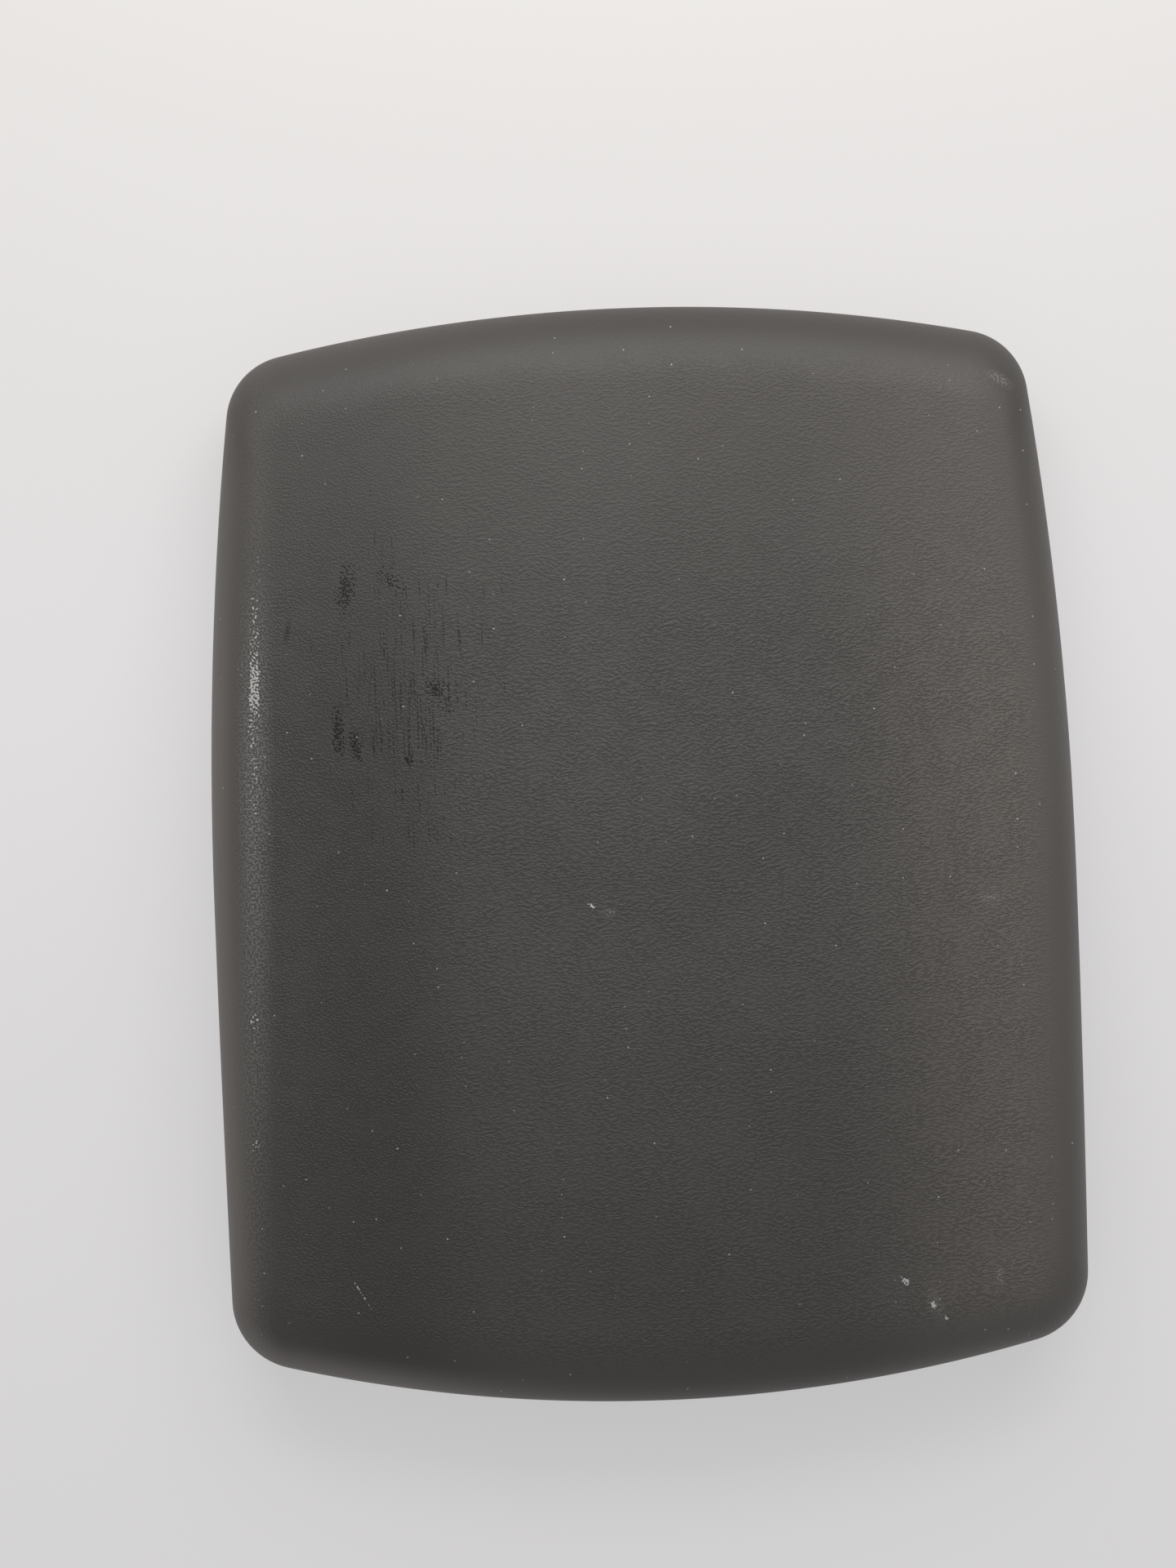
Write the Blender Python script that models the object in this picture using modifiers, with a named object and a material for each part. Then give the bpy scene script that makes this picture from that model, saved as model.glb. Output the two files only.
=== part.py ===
"""Center console armrest lid: a padded, grained cover on a ribbed carrier, with hinge and latch.

+Z is up, +Y points to the front of the vehicle (the latch end) and the hinge is at the -Y end.
The origin is the centre of the lid's box, on the plane of its lower rim. Lengths are in metres.
"""

import math

import bmesh
import bpy
from mathutils import Matrix, Vector

MM = 0.001

# Outline of the lid, seen from above, at its rim
LID_WIDTH = 266 * MM
LID_LENGTH = 338 * MM
FRONT_END_RADIUS = 563 * MM
REAR_END_RADIUS = 513 * MM
SIDE_BEND_RADIUS = 1318 * MM
SIDE_BEND_START_Y = -11 * MM
FRONT_CORNER_RADIUS = 20.5 * MM
REAR_CORNER_RADIUS = 21.5 * MM

# Section of the padded top
LID_HEIGHT = 46 * MM
SIDE_CROWN = 6 * MM
END_CROWN = 7 * MM
SIDE_ROLL_WIDTH = 14 * MM
END_ROLL_WIDTH = 26 * MM
ROLL_HEIGHT = 18 * MM
CREST_CORNER_RADIUS = 14 * MM
WALL_TUCK = 0.6 * MM

# Layers, from the outside in
SKIN_THICKNESS = 2.0 * MM
HEIGHT_UNDER_FOAM = 36.0 * MM
CORE_THICKNESS = 2.5 * MM
LINER_THICKNESS = 2.2 * MM
CLEARANCE = 0.3 * MM
RIM_RADIUS = 2.6 * MM
LEDGE_WIDTH = 4.0 * MM
LEDGE_DROP = 5.0 * MM

# Inner liner and its pocket
LINER_FOOT_Z = 5.0 * MM
LINER_EDGE_CLEARANCE = 0.4 * MM
POCKET_DEPTH = 12 * MM
POCKET_SIDE_MARGIN = 38 * MM
POCKET_FRONT_MARGIN = 56 * MM
POCKET_REAR_MARGIN = 64 * MM
POCKET_CORNER_RADIUS = 14 * MM
POCKET_EDGE_RADIUS = 3 * MM
POCKET_DRAFT = 1.5 * MM

# Stiffening ribs under the carrier's deck
RIB_THICKNESS = 1.8 * MM
RIB_CLEARANCE = 1.5 * MM
RIB_PITCH = 48 * MM
LENGTHWAYS_RIBS = 4
CROSSWAYS_RIBS = 5

# Screws and the bosses that they go into
SCREW_RADIUS = 1.8 * MM
SCREW_LENGTH = 12 * MM
SCREW_TIP_LENGTH = 2 * MM
SCREW_HEAD_RADIUS = 4.0 * MM
SCREW_HEAD_HEIGHT = 2.4 * MM
SCREW_RECESS_WIDTH = 1.1 * MM
SCREW_RECESS_LENGTH = 4.2 * MM
SCREW_RECESS_DEPTH = 1.3 * MM
BOSS_WALL = 2.1 * MM
BOSS_BORE_SPARE = 2.0 * MM
LINER_SCREW_REAR_MARGINS = (24 * MM, 34 * MM)
LINER_SCREW_FRONT_MARGINS = (34 * MM, 36 * MM)
LINER_SCREW_MIDDLE_MARGIN = 22 * MM
LINER_SCREW_END_MARGIN = 24 * MM
LINER_SCREW_END_X = 66 * MM

# Rubber bumpers pulled through the liner's flange
BUMPER_RADIUS = 6.0 * MM
BUMPER_HEIGHT = 3.0 * MM
BUMPER_STEM_RADIUS = 2.2 * MM
BUMPER_BULB_RADIUS = 3.2 * MM
BUMPER_BULB_HEIGHT = 2.4 * MM
BUMPER_SIDE_MARGIN = 18 * MM
BUMPER_Y = 62 * MM

# Hinge
HINGE_MARGIN = 25 * MM
HINGE_AXIS_Z = 9.5 * MM
HINGE_PIN_RADIUS = 2.5 * MM
HINGE_PIN_HEAD_RADIUS = 4.5 * MM
HINGE_PIN_HEAD_THICKNESS = 2.0 * MM
HINGE_PIN_TAIL = 2.5 * MM
EAR_RADIUS = 7.0 * MM
SHEET_THICKNESS = 2.0 * MM
BEND_RADIUS = 1.0 * MM
EDGE_UPSTAND = 0.7 * MM
BASE_EAR_X = 70 * MM
BASE_EAR_FOOT = 22 * MM
FOOT_REACH = 32 * MM
FOOT_SETBACK = 6 * MM
FOOT_HOLE_RADIUS = 2.75 * MM
FOOT_HOLE_XS = (26 * MM, 57 * MM)
FOOT_HOLE_SETBACK = 20 * MM
BUSH_WALL = 0.8 * MM
BUSH_FLANGE_RADIUS = 5.2 * MM
BUSH_FLANGE_THICKNESS = 1.0 * MM
CLIP_RADIUS = 5.5 * MM
CLIP_THICKNESS = 1.2 * MM
LID_PLATE_Z = 16.5 * MM
LID_PLATE_REACH = 31 * MM
LID_PLATE_OVERHANG = 5 * MM
LID_EAR_FOOT = 20 * MM
HINGE_SCREW_X = 46 * MM
HINGE_SCREW_ROWS = (8.5 * MM, 24.5 * MM)
HINGE_SCREW_LENGTH = 6 * MM
HINGE_BORE_DEPTH = 7 * MM
WINDOW_SIDE_GAP = 7 * MM
WINDOW_FRONT_GAP = 2 * MM
HINGE_WIRE_RADIUS = 0.6 * MM
HINGE_COIL_RADIUS = 4.3 * MM
HINGE_COIL_TURNS = 6
HINGE_COIL_PITCH = 2.2 * MM
HINGE_SPRING_LEG = 17 * MM

# Latch
LATCH_MARGIN = 29 * MM
LATCH_AXIS_Z = 13 * MM
LATCH_PIN_RADIUS = 1.5 * MM
LATCH_PIN_HEAD_RADIUS = 2.6 * MM
LATCH_PIN_HEAD_THICKNESS = 1.0 * MM
LATCH_PIN_TAIL = 1.0 * MM
NOTCH_HALF_WIDTH = 30 * MM
NOTCH_HEIGHT = 10 * MM
SLEEVE_WALL = 1.6 * MM
SLEEVE_SETBACK = 1.4 * MM
SLEEVE_FOOT_Z = 0.5 * MM
HOUSING_HALF_WIDTH = 31 * MM
HOUSING_WALL = 2.2 * MM
HOUSING_TOP_Z = 19.7 * MM
HOUSING_REAR_REACH = 16 * MM
HOUSING_FRONT_MARGIN = 13 * MM
HOUSING_CORNER_RADIUS = 4 * MM
HOUSING_FLANGE_WIDTH = 13 * MM
LEVER_SIDE_PLAY = 0.5 * MM
LEVER_HUB_RADIUS = 4.0 * MM
LEVER_REACH = 12 * MM
LEVER_PLATE_DROP = 1.0 * MM
LEVER_PLATE_THICKNESS = 2.2 * MM
LEVER_LIP_DEPTH = 4.6 * MM
LEVER_LIP_THICKNESS = 2.4 * MM
HOOK_HALF_WIDTH = 7 * MM
HOOK_THICKNESS = 4.0 * MM
HOOK_DEPTH = 10 * MM
HOOK_TIP_REACH = 5 * MM
HOOK_TIP_HEIGHT = 3.2 * MM
HOOK_CAM_RISE = 2.2 * MM
STOP_LUG_HALF_WIDTH = 2.0 * MM
STOP_LUG_X = 20 * MM
STOP_LUG_LENGTH = 2.0 * MM
LATCH_WIRE_RADIUS = 0.4 * MM
LATCH_COIL_RADIUS = 2.9 * MM
LATCH_COIL_TURNS = 4
LATCH_COIL_PITCH = 1.5 * MM
LATCH_COIL_X = -17 * MM
LATCH_SPRING_LEG = 10.5 * MM
COIL_SLOT_GAP = 1.6 * MM

# Facets
END_STEPS = 3
CORNER_STEPS = 5
BEND_STEPS = 3
STRAIGHT_STEPS = 1
ROLL_STEPS = 4
CROWN_STEPS = 3
RIM_STEPS = 2
ROUND_STEPS = 16
SCREW_STEPS = 8
SHEET_BEND_STEPS = 3
COIL_STEPS = 8
BOSS_STEPS = 12
CUT_MARGIN = 5 * MM
MERGE_DISTANCE = 0.01 * MM
POINT_WEIGHT = 1

# Sizes and places that follow from those above
RIM_WRAP = WALL_TUCK + 2 * SKIN_THICKNESS + 2 * CLEARANCE + CORE_THICKNESS
CORE_INSET = SKIN_THICKNESS + CLEARANCE
CORE_FOOT_Z = CORE_INSET + CLEARANCE
FOAM_THICKNESS = LID_HEIGHT - HEIGHT_UNDER_FOAM
CORE_DEPTH = SKIN_THICKNESS + FOAM_THICKNESS + 2 * CLEARANCE
LEDGE_INSET = CORE_INSET + WALL_TUCK / 2
DECK_INSET = LEDGE_INSET + LEDGE_WIDTH
DECK_ROLL_HEIGHT = ROLL_HEIGHT + LEDGE_DROP - CORE_DEPTH
LINER_TOP_Z = LINER_FOOT_Z + LINER_THICKNESS
LINER_INSET = RIM_WRAP + LINER_EDGE_CLEARANCE
BOSS_FOOT_Z = LINER_TOP_Z + CLEARANCE
RIB_FOOT_Z = LINER_TOP_Z + POCKET_DEPTH + RIB_CLEARANCE
BORE_RADIUS = SCREW_RADIUS + CLEARANCE
HINGE_AXIS = Vector((0, HINGE_MARGIN - LID_LENGTH / 2, HINGE_AXIS_Z))
LID_EAR_X = BASE_EAR_X - BUSH_FLANGE_THICKNESS - 2 * CLEARANCE - SHEET_THICKNESS
WINDOW_HALF_WIDTH = BASE_EAR_X + SHEET_THICKNESS + WINDOW_SIDE_GAP
WINDOW_FRONT_Y = HINGE_AXIS.y + FOOT_REACH + WINDOW_FRONT_GAP
LATCH_AXIS = Vector((0, LID_LENGTH / 2 - LATCH_MARGIN, LATCH_AXIS_Z))
HOUSING_OUTER_X = HOUSING_HALF_WIDTH + HOUSING_WALL
HOUSING_REAR_Y = LATCH_AXIS.y - HOUSING_REAR_REACH
HOUSING_FRONT_Y = LID_LENGTH / 2 - HOUSING_FRONT_MARGIN
FLANGE_HALF_WIDTH = HOUSING_OUTER_X + HOUSING_FLANGE_WIDTH
LATCH_SCREW_X = HOUSING_OUTER_X + HOUSING_FLANGE_WIDTH / 2
LEVER_HALF_WIDTH = HOUSING_HALF_WIDTH - LEVER_SIDE_PLAY
BUSH_RADIUS = HINGE_PIN_RADIUS + CLEARANCE + BUSH_WALL
COIL_SLOT_HALF_WIDTH = LATCH_COIL_TURNS * LATCH_COIL_PITCH / 2 + COIL_SLOT_GAP

PARTS = "center_console_armrest_lid"
CUTTERS = "construction"

# Colour, roughness and metallic value of each finish
FINISHES = {
    "grained_skin": ((0.085, 0.081, 0.077), 0.55, 0.0),
    "foam": ((0.62, 0.53, 0.33), 0.95, 0.0),
    "carrier_plastic": ((0.030, 0.030, 0.031), 0.60, 0.0),
    "liner_plastic": ((0.060, 0.058, 0.056), 0.62, 0.0),
    "latch_plastic": ((0.040, 0.039, 0.038), 0.45, 0.0),
    "zinc_plated_steel": ((0.60, 0.59, 0.54), 0.38, 1.0),
    "spring_steel": ((0.35, 0.34, 0.33), 0.35, 1.0),
    "black_steel": ((0.045, 0.045, 0.047), 0.40, 0.8),
    "bush_nylon": ((0.72, 0.70, 0.62), 0.45, 0.0),
    "bumper_rubber": ((0.020, 0.020, 0.020), 0.85, 0.0),
}


def clear_scene():
    """Remove what the opened scene holds, and make the collections for parts and cutters."""
    for obj in list(bpy.data.objects):
        bpy.data.objects.remove(obj, do_unlink=True)
    for name in (PARTS, CUTTERS):
        collection = bpy.data.collections.new(name)
        bpy.context.scene.collection.children.link(collection)
    bpy.data.collections[CUTTERS].hide_render = True


def finish_material(finish):
    """The Principled material of one finish, made the first time it is asked for."""
    if finish in bpy.data.materials:
        return bpy.data.materials[finish]
    colour, roughness, metallic = FINISHES[finish]
    material = bpy.data.materials.new(finish)
    material.use_nodes = True
    shader = material.node_tree.nodes["Principled BSDF"]
    shader.inputs["Base Color"].default_value = (*colour, 1.0)
    shader.inputs["Roughness"].default_value = roughness
    shader.inputs["Metallic"].default_value = metallic
    material.diffuse_color = (*colour, 1.0)
    return material


def add_part(name, data, finish):
    """Link a mesh or curve as one named sub-part."""
    obj = bpy.data.objects.new(name, data)
    data.materials.append(finish_material(finish))
    bpy.data.collections[PARTS].objects.link(obj)
    return obj


def add_helper(name, data):
    """Link a mesh or curve as a cutter or filler, which is no sub-part itself."""
    obj = bpy.data.objects.new(name, data)
    obj.hide_render = True
    obj.display_type = "WIRE"
    bpy.data.collections[CUTTERS].objects.link(obj)
    return obj


def keep_primitive(name):
    """Turn the primitive that was just added into a helper in world coordinates."""
    primitive = bpy.context.active_object
    data = primitive.data
    data.transform(primitive.matrix_basis)
    bpy.data.objects.remove(primitive, do_unlink=True)
    return add_helper(name, data)


def box(name, low, high):
    """A box between two corners."""
    low, high = Vector(low), Vector(high)
    bpy.ops.mesh.primitive_cube_add(size=1, location=(low + high) / 2, scale=high - low)
    return keep_primitive(name)


def cylinder(name, radius, start, end, steps=ROUND_STEPS):
    """A cylinder whose axis runs from one point to another."""
    start, end = Vector(start), Vector(end)
    axis = end - start
    bpy.ops.mesh.primitive_cylinder_add(
        vertices=steps,
        radius=radius,
        depth=axis.length,
        location=(start + end) / 2,
        rotation=axis.to_track_quat("Z", "Y").to_euler(),
    )
    return keep_primitive(name)


def flat_outline(name, points, half_depth):
    """A flat outline as a filled curve, thickened by half its depth to each side."""
    curve = bpy.data.curves.new(name, "CURVE")
    curve.dimensions = "2D"
    curve.fill_mode = "BOTH"
    curve.extrude = half_depth
    spline = curve.splines.new("POLY")
    spline.points.add(len(points) - 1)
    for point, (across, up) in zip(spline.points, points):
        point.co = (across, up, 0, POINT_WEIGHT)
    spline.use_cyclic_u = True
    return add_helper(name, curve)


def curve_to_mesh(obj):
    """Replace a curve by its closed mesh in world coordinates, so that it can be cut."""
    bpy.context.view_layer.update()
    graph = bpy.context.evaluated_depsgraph_get()
    data = bpy.data.meshes.new_from_object(obj.evaluated_get(graph))
    data.transform(obj.matrix_world)
    name = obj.name
    bpy.data.objects.remove(obj, do_unlink=True)
    mesh = bmesh.new()
    mesh.from_mesh(data)
    bmesh.ops.remove_doubles(mesh, verts=mesh.verts, dist=MERGE_DISTANCE)
    bmesh.ops.recalc_face_normals(mesh, faces=mesh.faces)
    mesh.to_mesh(data)
    mesh.free()
    return add_helper(name, data)


def plan_plate(name, points, low_z, high_z):
    """A plate with an outline in plan (x, y), between two heights."""
    obj = flat_outline(name, points, (high_z - low_z) / 2)
    obj.location.z = (low_z + high_z) / 2
    return curve_to_mesh(obj)


def side_plate(name, points, low_x, high_x):
    """A plate with an outline in side view (y, z), between two places across the lid."""
    obj = flat_outline(name, points, (high_x - low_x) / 2)
    side_view = Matrix(((0, 0, 1, 0), (1, 0, 0, 0), (0, 1, 0, 0), (0, 0, 0, 1)))
    obj.matrix_world = Matrix.Translation(((low_x + high_x) / 2, 0, 0)) @ side_view
    return curve_to_mesh(obj)


def front_plate(name, points, low_y, high_y):
    """A plate with an outline in front view (x, z), between two places along the lid."""
    obj = flat_outline(name, points, (high_y - low_y) / 2)
    front_view = Matrix.Rotation(math.pi / 2, 4, "X")
    obj.matrix_world = Matrix.Translation((0, (low_y + high_y) / 2, 0)) @ front_view
    return curve_to_mesh(obj)


def make_part(helper, finish):
    """Turn a helper, with the cuts already on it, into a sub-part of the same name."""
    helper.data.materials.append(finish_material(finish))
    helper.hide_render = False
    helper.display_type = "TEXTURED"
    bpy.data.collections[CUTTERS].objects.unlink(helper)
    bpy.data.collections[PARTS].objects.link(helper)
    return helper


def combine(obj, others, operation):
    """Join, cut or trim a piece by each helper in turn."""
    for other in others:
        modifier = obj.modifiers.new(other.name, "BOOLEAN")
        modifier.operation = operation
        modifier.solver = "EXACT"
        modifier.object = other


def solidify(obj, thickness, offset):
    """Give an open surface its wall, on one side of it."""
    modifier = obj.modifiers.new("wall", "SOLIDIFY")
    modifier.thickness = thickness
    modifier.offset = offset
    modifier.use_even_offset = True
    modifier.use_quality_normals = True


def loft(name, rings):
    """A surface through rings of points; a ring of a single point closes its end."""
    mesh = bmesh.new()
    loops = [[mesh.verts.new(point) for point in ring] for ring in rings]
    for below, above in zip(loops, loops[1:]):
        for i in range(max(len(below), len(above))):
            j = i + 1
            corners = [
                below[i % len(below)],
                below[j % len(below)],
                above[j % len(above)],
                above[i % len(above)],
            ]
            mesh.faces.new(list(dict.fromkeys(corners)))
    # Layers that lie over each other split their faces along the same diagonals.
    bmesh.ops.triangulate(mesh, faces=mesh.faces, quad_method="SHORT_EDGE")
    data = bpy.data.meshes.new(name)
    mesh.to_mesh(data)
    mesh.free()
    return data


def turned(name, profile, location, finish, steps, closed=False, along_x=0):
    """A turned piece: a profile of (radius, height) points, top to bottom, around its axis."""
    mesh = bmesh.new()
    points = [mesh.verts.new((radius, 0, height)) for radius, height in profile]
    for start, end in zip(points, points[1:]):
        mesh.edges.new((start, end))
    if closed:
        mesh.edges.new((points[-1], points[0]))
    data = bpy.data.meshes.new(name)
    mesh.to_mesh(data)
    mesh.free()
    obj = add_part(name, data, finish)
    obj.location = location
    obj.rotation_euler.y = along_x * math.pi / 2
    screw = obj.modifiers.new("turn", "SCREW")
    screw.axis = "Z"
    screw.steps = steps
    screw.render_steps = steps
    screw.use_merge_vertices = True
    screw.merge_threshold = MERGE_DISTANCE
    screw.use_smooth_shade = False
    return obj


def blend(start, end, share):
    """A value part of the way from one to another."""
    return start + (end - start) * share


def on_circle(centre, radius, angle):
    """The point of a circle at one angle."""
    return (centre[0] + radius * math.cos(angle), centre[1] + radius * math.sin(angle))


def arc(centre, radius, start, end, steps):
    """Points along an arc, leaving its last point to the stretch that follows."""
    return [on_circle(centre, radius, blend(start, end, i / steps)) for i in range(steps)]


def rounded_rectangle(low, high, radius, steps=4):
    """Corners of a rectangle in plan, each rounded by an arc."""
    quarter = math.pi / 2
    centres = [
        (high[0] - radius, low[1] + radius),
        (high[0] - radius, high[1] - radius),
        (low[0] + radius, high[1] - radius),
        (low[0] + radius, low[1] + radius),
    ]
    points = []
    for i, centre in enumerate(centres):
        points += arc(centre, radius, (i - 1) * quarter, i * quarter, steps)
        points.append(on_circle(centre, radius, i * quarter))
    return points


def upper_meeting(centre_a, radius_a, centre_b, radius_b):
    """The upper one of the two points where two circles in plan meet."""
    a, b = Vector(centre_a), Vector(centre_b)
    between = b - a
    along = (radius_a**2 - radius_b**2 + between.length_squared) / (2 * between.length)
    across = math.sqrt(radius_a**2 - along**2)
    axis = between.normalized()
    foot = a + axis * along
    side = Vector((-axis.y, axis.x)) * across
    return max((foot + side, foot - side), key=lambda point: point.y)


def lid_outline(side_inset, front_inset, rear_inset, front_corner, rear_corner):
    """One ring of (x, y) points around the lid, moved in from the rim by the insets.

    The sides run straight and parallel from the rear, then bend in on one long arc to the
    front. Both ends are arcs, and each corner is an arc that touches its neighbours.
    """
    side_x = LID_WIDTH / 2 - side_inset
    bend_centre = (LID_WIDTH / 2 - SIDE_BEND_RADIUS, SIDE_BEND_START_Y)
    bend_radius = SIDE_BEND_RADIUS - side_inset
    front_centre = (0, LID_LENGTH / 2 - FRONT_END_RADIUS)
    front_radius = FRONT_END_RADIUS - front_inset
    rear_centre = (0, REAR_END_RADIUS - LID_LENGTH / 2)
    rear_radius = REAR_END_RADIUS - rear_inset

    rear_x = side_x - rear_corner
    rear_y = rear_centre[1] - math.sqrt((rear_radius - rear_corner) ** 2 - rear_x**2)
    rear_angle = math.atan2(rear_y - rear_centre[1], rear_x)
    reaches = (bend_radius - front_corner, front_radius - front_corner)
    front = upper_meeting(bend_centre, reaches[0], front_centre, reaches[1])
    bend_angle = math.atan2(front.y - bend_centre[1], front.x - bend_centre[0])
    front_angle = math.atan2(front.y - front_centre[1], front.x)

    half = arc(rear_centre, rear_radius, -math.pi / 2, rear_angle, END_STEPS)
    half += arc((rear_x, rear_y), rear_corner, rear_angle, 0, CORNER_STEPS)
    for i in range(STRAIGHT_STEPS):
        half.append((side_x, blend(rear_y, SIDE_BEND_START_Y, i / STRAIGHT_STEPS)))
    half += arc(bend_centre, bend_radius, 0, bend_angle, BEND_STEPS)
    half += arc(front, front_corner, bend_angle, front_angle, CORNER_STEPS)
    half += arc(front_centre, front_radius, front_angle, math.pi / 2, END_STEPS)
    tip = [(0, front_centre[1] + front_radius)]
    return half + tip + [(-x, y) for x, y in reversed(half[1:])]


def level_ring(inset, height):
    """A level ring of points around the lid, at one inset from the rim all round."""
    corners = (FRONT_CORNER_RADIUS - inset, REAR_CORNER_RADIUS - inset)
    return [(x, y, height) for x, y in lid_outline(inset, inset, inset, *corners)]


def crown_height(x, y):
    """Height of the padded top's outer surface over a point, but for its rounded edges."""
    return LID_HEIGHT - SIDE_CROWN * (2 * x / LID_WIDTH) ** 2 - END_CROWN * (2 * y / LID_LENGTH) ** 2


def roll_ring(inset, depth, roll_height, turn):
    """A ring of a layer's rounded edge; turn runs from 0 at its wall to 1 at its crest."""
    run = 1 - math.cos(turn * math.pi / 2)
    drop = depth + roll_height * (1 - math.sin(turn * math.pi / 2))
    side = blend(inset, SIDE_ROLL_WIDTH, run)
    end = blend(inset, END_ROLL_WIDTH, run)
    front_corner = blend(FRONT_CORNER_RADIUS - inset, CREST_CORNER_RADIUS, run)
    rear_corner = blend(REAR_CORNER_RADIUS - inset, CREST_CORNER_RADIUS, run)
    outline = lid_outline(side, end, end, front_corner, rear_corner)
    return [(x, y, crown_height(x, y) - drop) for x, y in outline]


def ledge_ring(inset, above):
    """A ring at the carrier's ledge, which follows the crown below the top's edge."""
    drop = ROLL_HEIGHT + LEDGE_DROP - above
    return [(x, y, crown_height(x, y) - drop) for x, y, _ in level_ring(inset, 0)]


def dome_rings(inset, depth, roll_height):
    """Rings of one layer of the padded top, from its wall over the crest to the middle."""
    rings = [roll_ring(inset, depth, roll_height, i / ROLL_STEPS) for i in range(ROLL_STEPS + 1)]
    crest = rings[-1]
    for i in range(CROWN_STEPS - 1, 0, -1):
        share = i / CROWN_STEPS
        points = [(x * share, y * share) for x, y, _ in crest]
        rings.append([(x, y, crown_height(x, y) - depth) for x, y in points])
    rings.append([(0, 0, LID_HEIGHT - depth)])
    return rings


def rim_rings():
    """Rings of the skin's wrapped edge: its inner face, the rounded rim and the outer wall."""
    inner = RIM_WRAP - RIM_RADIUS
    rings = [level_ring(RIM_WRAP, BOSS_FOOT_Z)]
    for centre, start in ((inner, 0), (WALL_TUCK + RIM_RADIUS, math.pi / 2)):
        for i in range(RIM_STEPS + 1):
            angle = start + i / RIM_STEPS * math.pi / 2
            inset = centre + RIM_RADIUS * math.cos(angle)
            rings.append(level_ring(inset, RIM_RADIUS * (1 - math.sin(angle))))
    return rings


def finger_notch():
    """The cutter of the finger opening in the front edge of skin and carrier."""
    low = (-NOTCH_HALF_WIDTH, LID_LENGTH / 2 - RIM_WRAP - CUT_MARGIN, -CUT_MARGIN)
    high = (NOTCH_HALF_WIDTH, LID_LENGTH / 2 + CUT_MARGIN, NOTCH_HEIGHT)
    return box("finger_notch", low, high)


def cover_skin(notch):
    """The grained skin: over the crown, down the wall, around the rim and up inside it."""
    rings = rim_rings() + dome_rings(0, 0, ROLL_HEIGHT)
    skin = add_part("cover_skin", loft("cover_skin", rings), "grained_skin")
    solidify(skin, SKIN_THICKNESS, -1)
    combine(skin, [notch], "DIFFERENCE")
    return skin


def foam_pad():
    """The moulded foam between skin and carrier, thinning towards its lower edge."""
    under = dome_rings(DECK_INSET - CLEARANCE, CORE_DEPTH - CLEARANCE, DECK_ROLL_HEIGHT)
    outer = dome_rings(CORE_INSET, CORE_INSET, ROLL_HEIGHT - CORE_INSET)
    rings = list(reversed(under)) + [ledge_ring(LEDGE_INSET, CLEARANCE)] + outer
    return add_part("foam_pad", loft("foam_pad", rings), "foam")


def ribs():
    """The stiffening ribs under the carrier's deck, still running past its edges."""
    half = RIB_THICKNESS / 2
    made = []
    for i in range(LENGTHWAYS_RIBS):
        x = (i - (LENGTHWAYS_RIBS - 1) / 2) * RIB_PITCH
        low = (x - half, -LID_LENGTH / 2, RIB_FOOT_Z)
        made.append(box(f"lengthways_rib_{i + 1}", low, (x + half, LID_LENGTH / 2, LID_HEIGHT)))
    for i in range(CROSSWAYS_RIBS):
        y = (i - (CROSSWAYS_RIBS - 1) / 2) * RIB_PITCH
        low = (-LID_WIDTH / 2, y - half, RIB_FOOT_Z)
        made.append(box(f"crossways_rib_{i + 1}", low, (LID_WIDTH / 2, y + half, LID_HEIGHT)))
    return made


def liner_screw_places():
    """Where the liner's screws go, in plan."""
    rear_x = LID_WIDTH / 2 - LINER_SCREW_REAR_MARGINS[0]
    front_x = LID_WIDTH / 2 - LINER_SCREW_FRONT_MARGINS[0]
    right = [
        (rear_x, LINER_SCREW_REAR_MARGINS[1] - LID_LENGTH / 2),
        (LID_WIDTH / 2 - LINER_SCREW_MIDDLE_MARGIN, 0),
        (front_x, LID_LENGTH / 2 - LINER_SCREW_FRONT_MARGINS[1]),
        (LINER_SCREW_END_X, LID_LENGTH / 2 - LINER_SCREW_END_MARGIN),
    ]
    return right + [(-x, y) for x, y in right]


def latch_screw_places():
    """Where the latch housing's screws go, in plan."""
    return [(side * LATCH_SCREW_X, LATCH_AXIS.y) for side in (-1, 1)]


def hinge_screw_places():
    """Where the lid bracket's screws go, in plan."""
    rows = [HINGE_AXIS.y + row for row in HINGE_SCREW_ROWS]
    return [(side * HINGE_SCREW_X, y) for side in (-1, 1) for y in rows]


def bumper_places():
    """Where the bumpers sit, in plan."""
    x = LID_WIDTH / 2 - BUMPER_SIDE_MARGIN
    return [(side * x, end * BUMPER_Y) for side in (-1, 1) for end in (-1, 1)]


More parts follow.
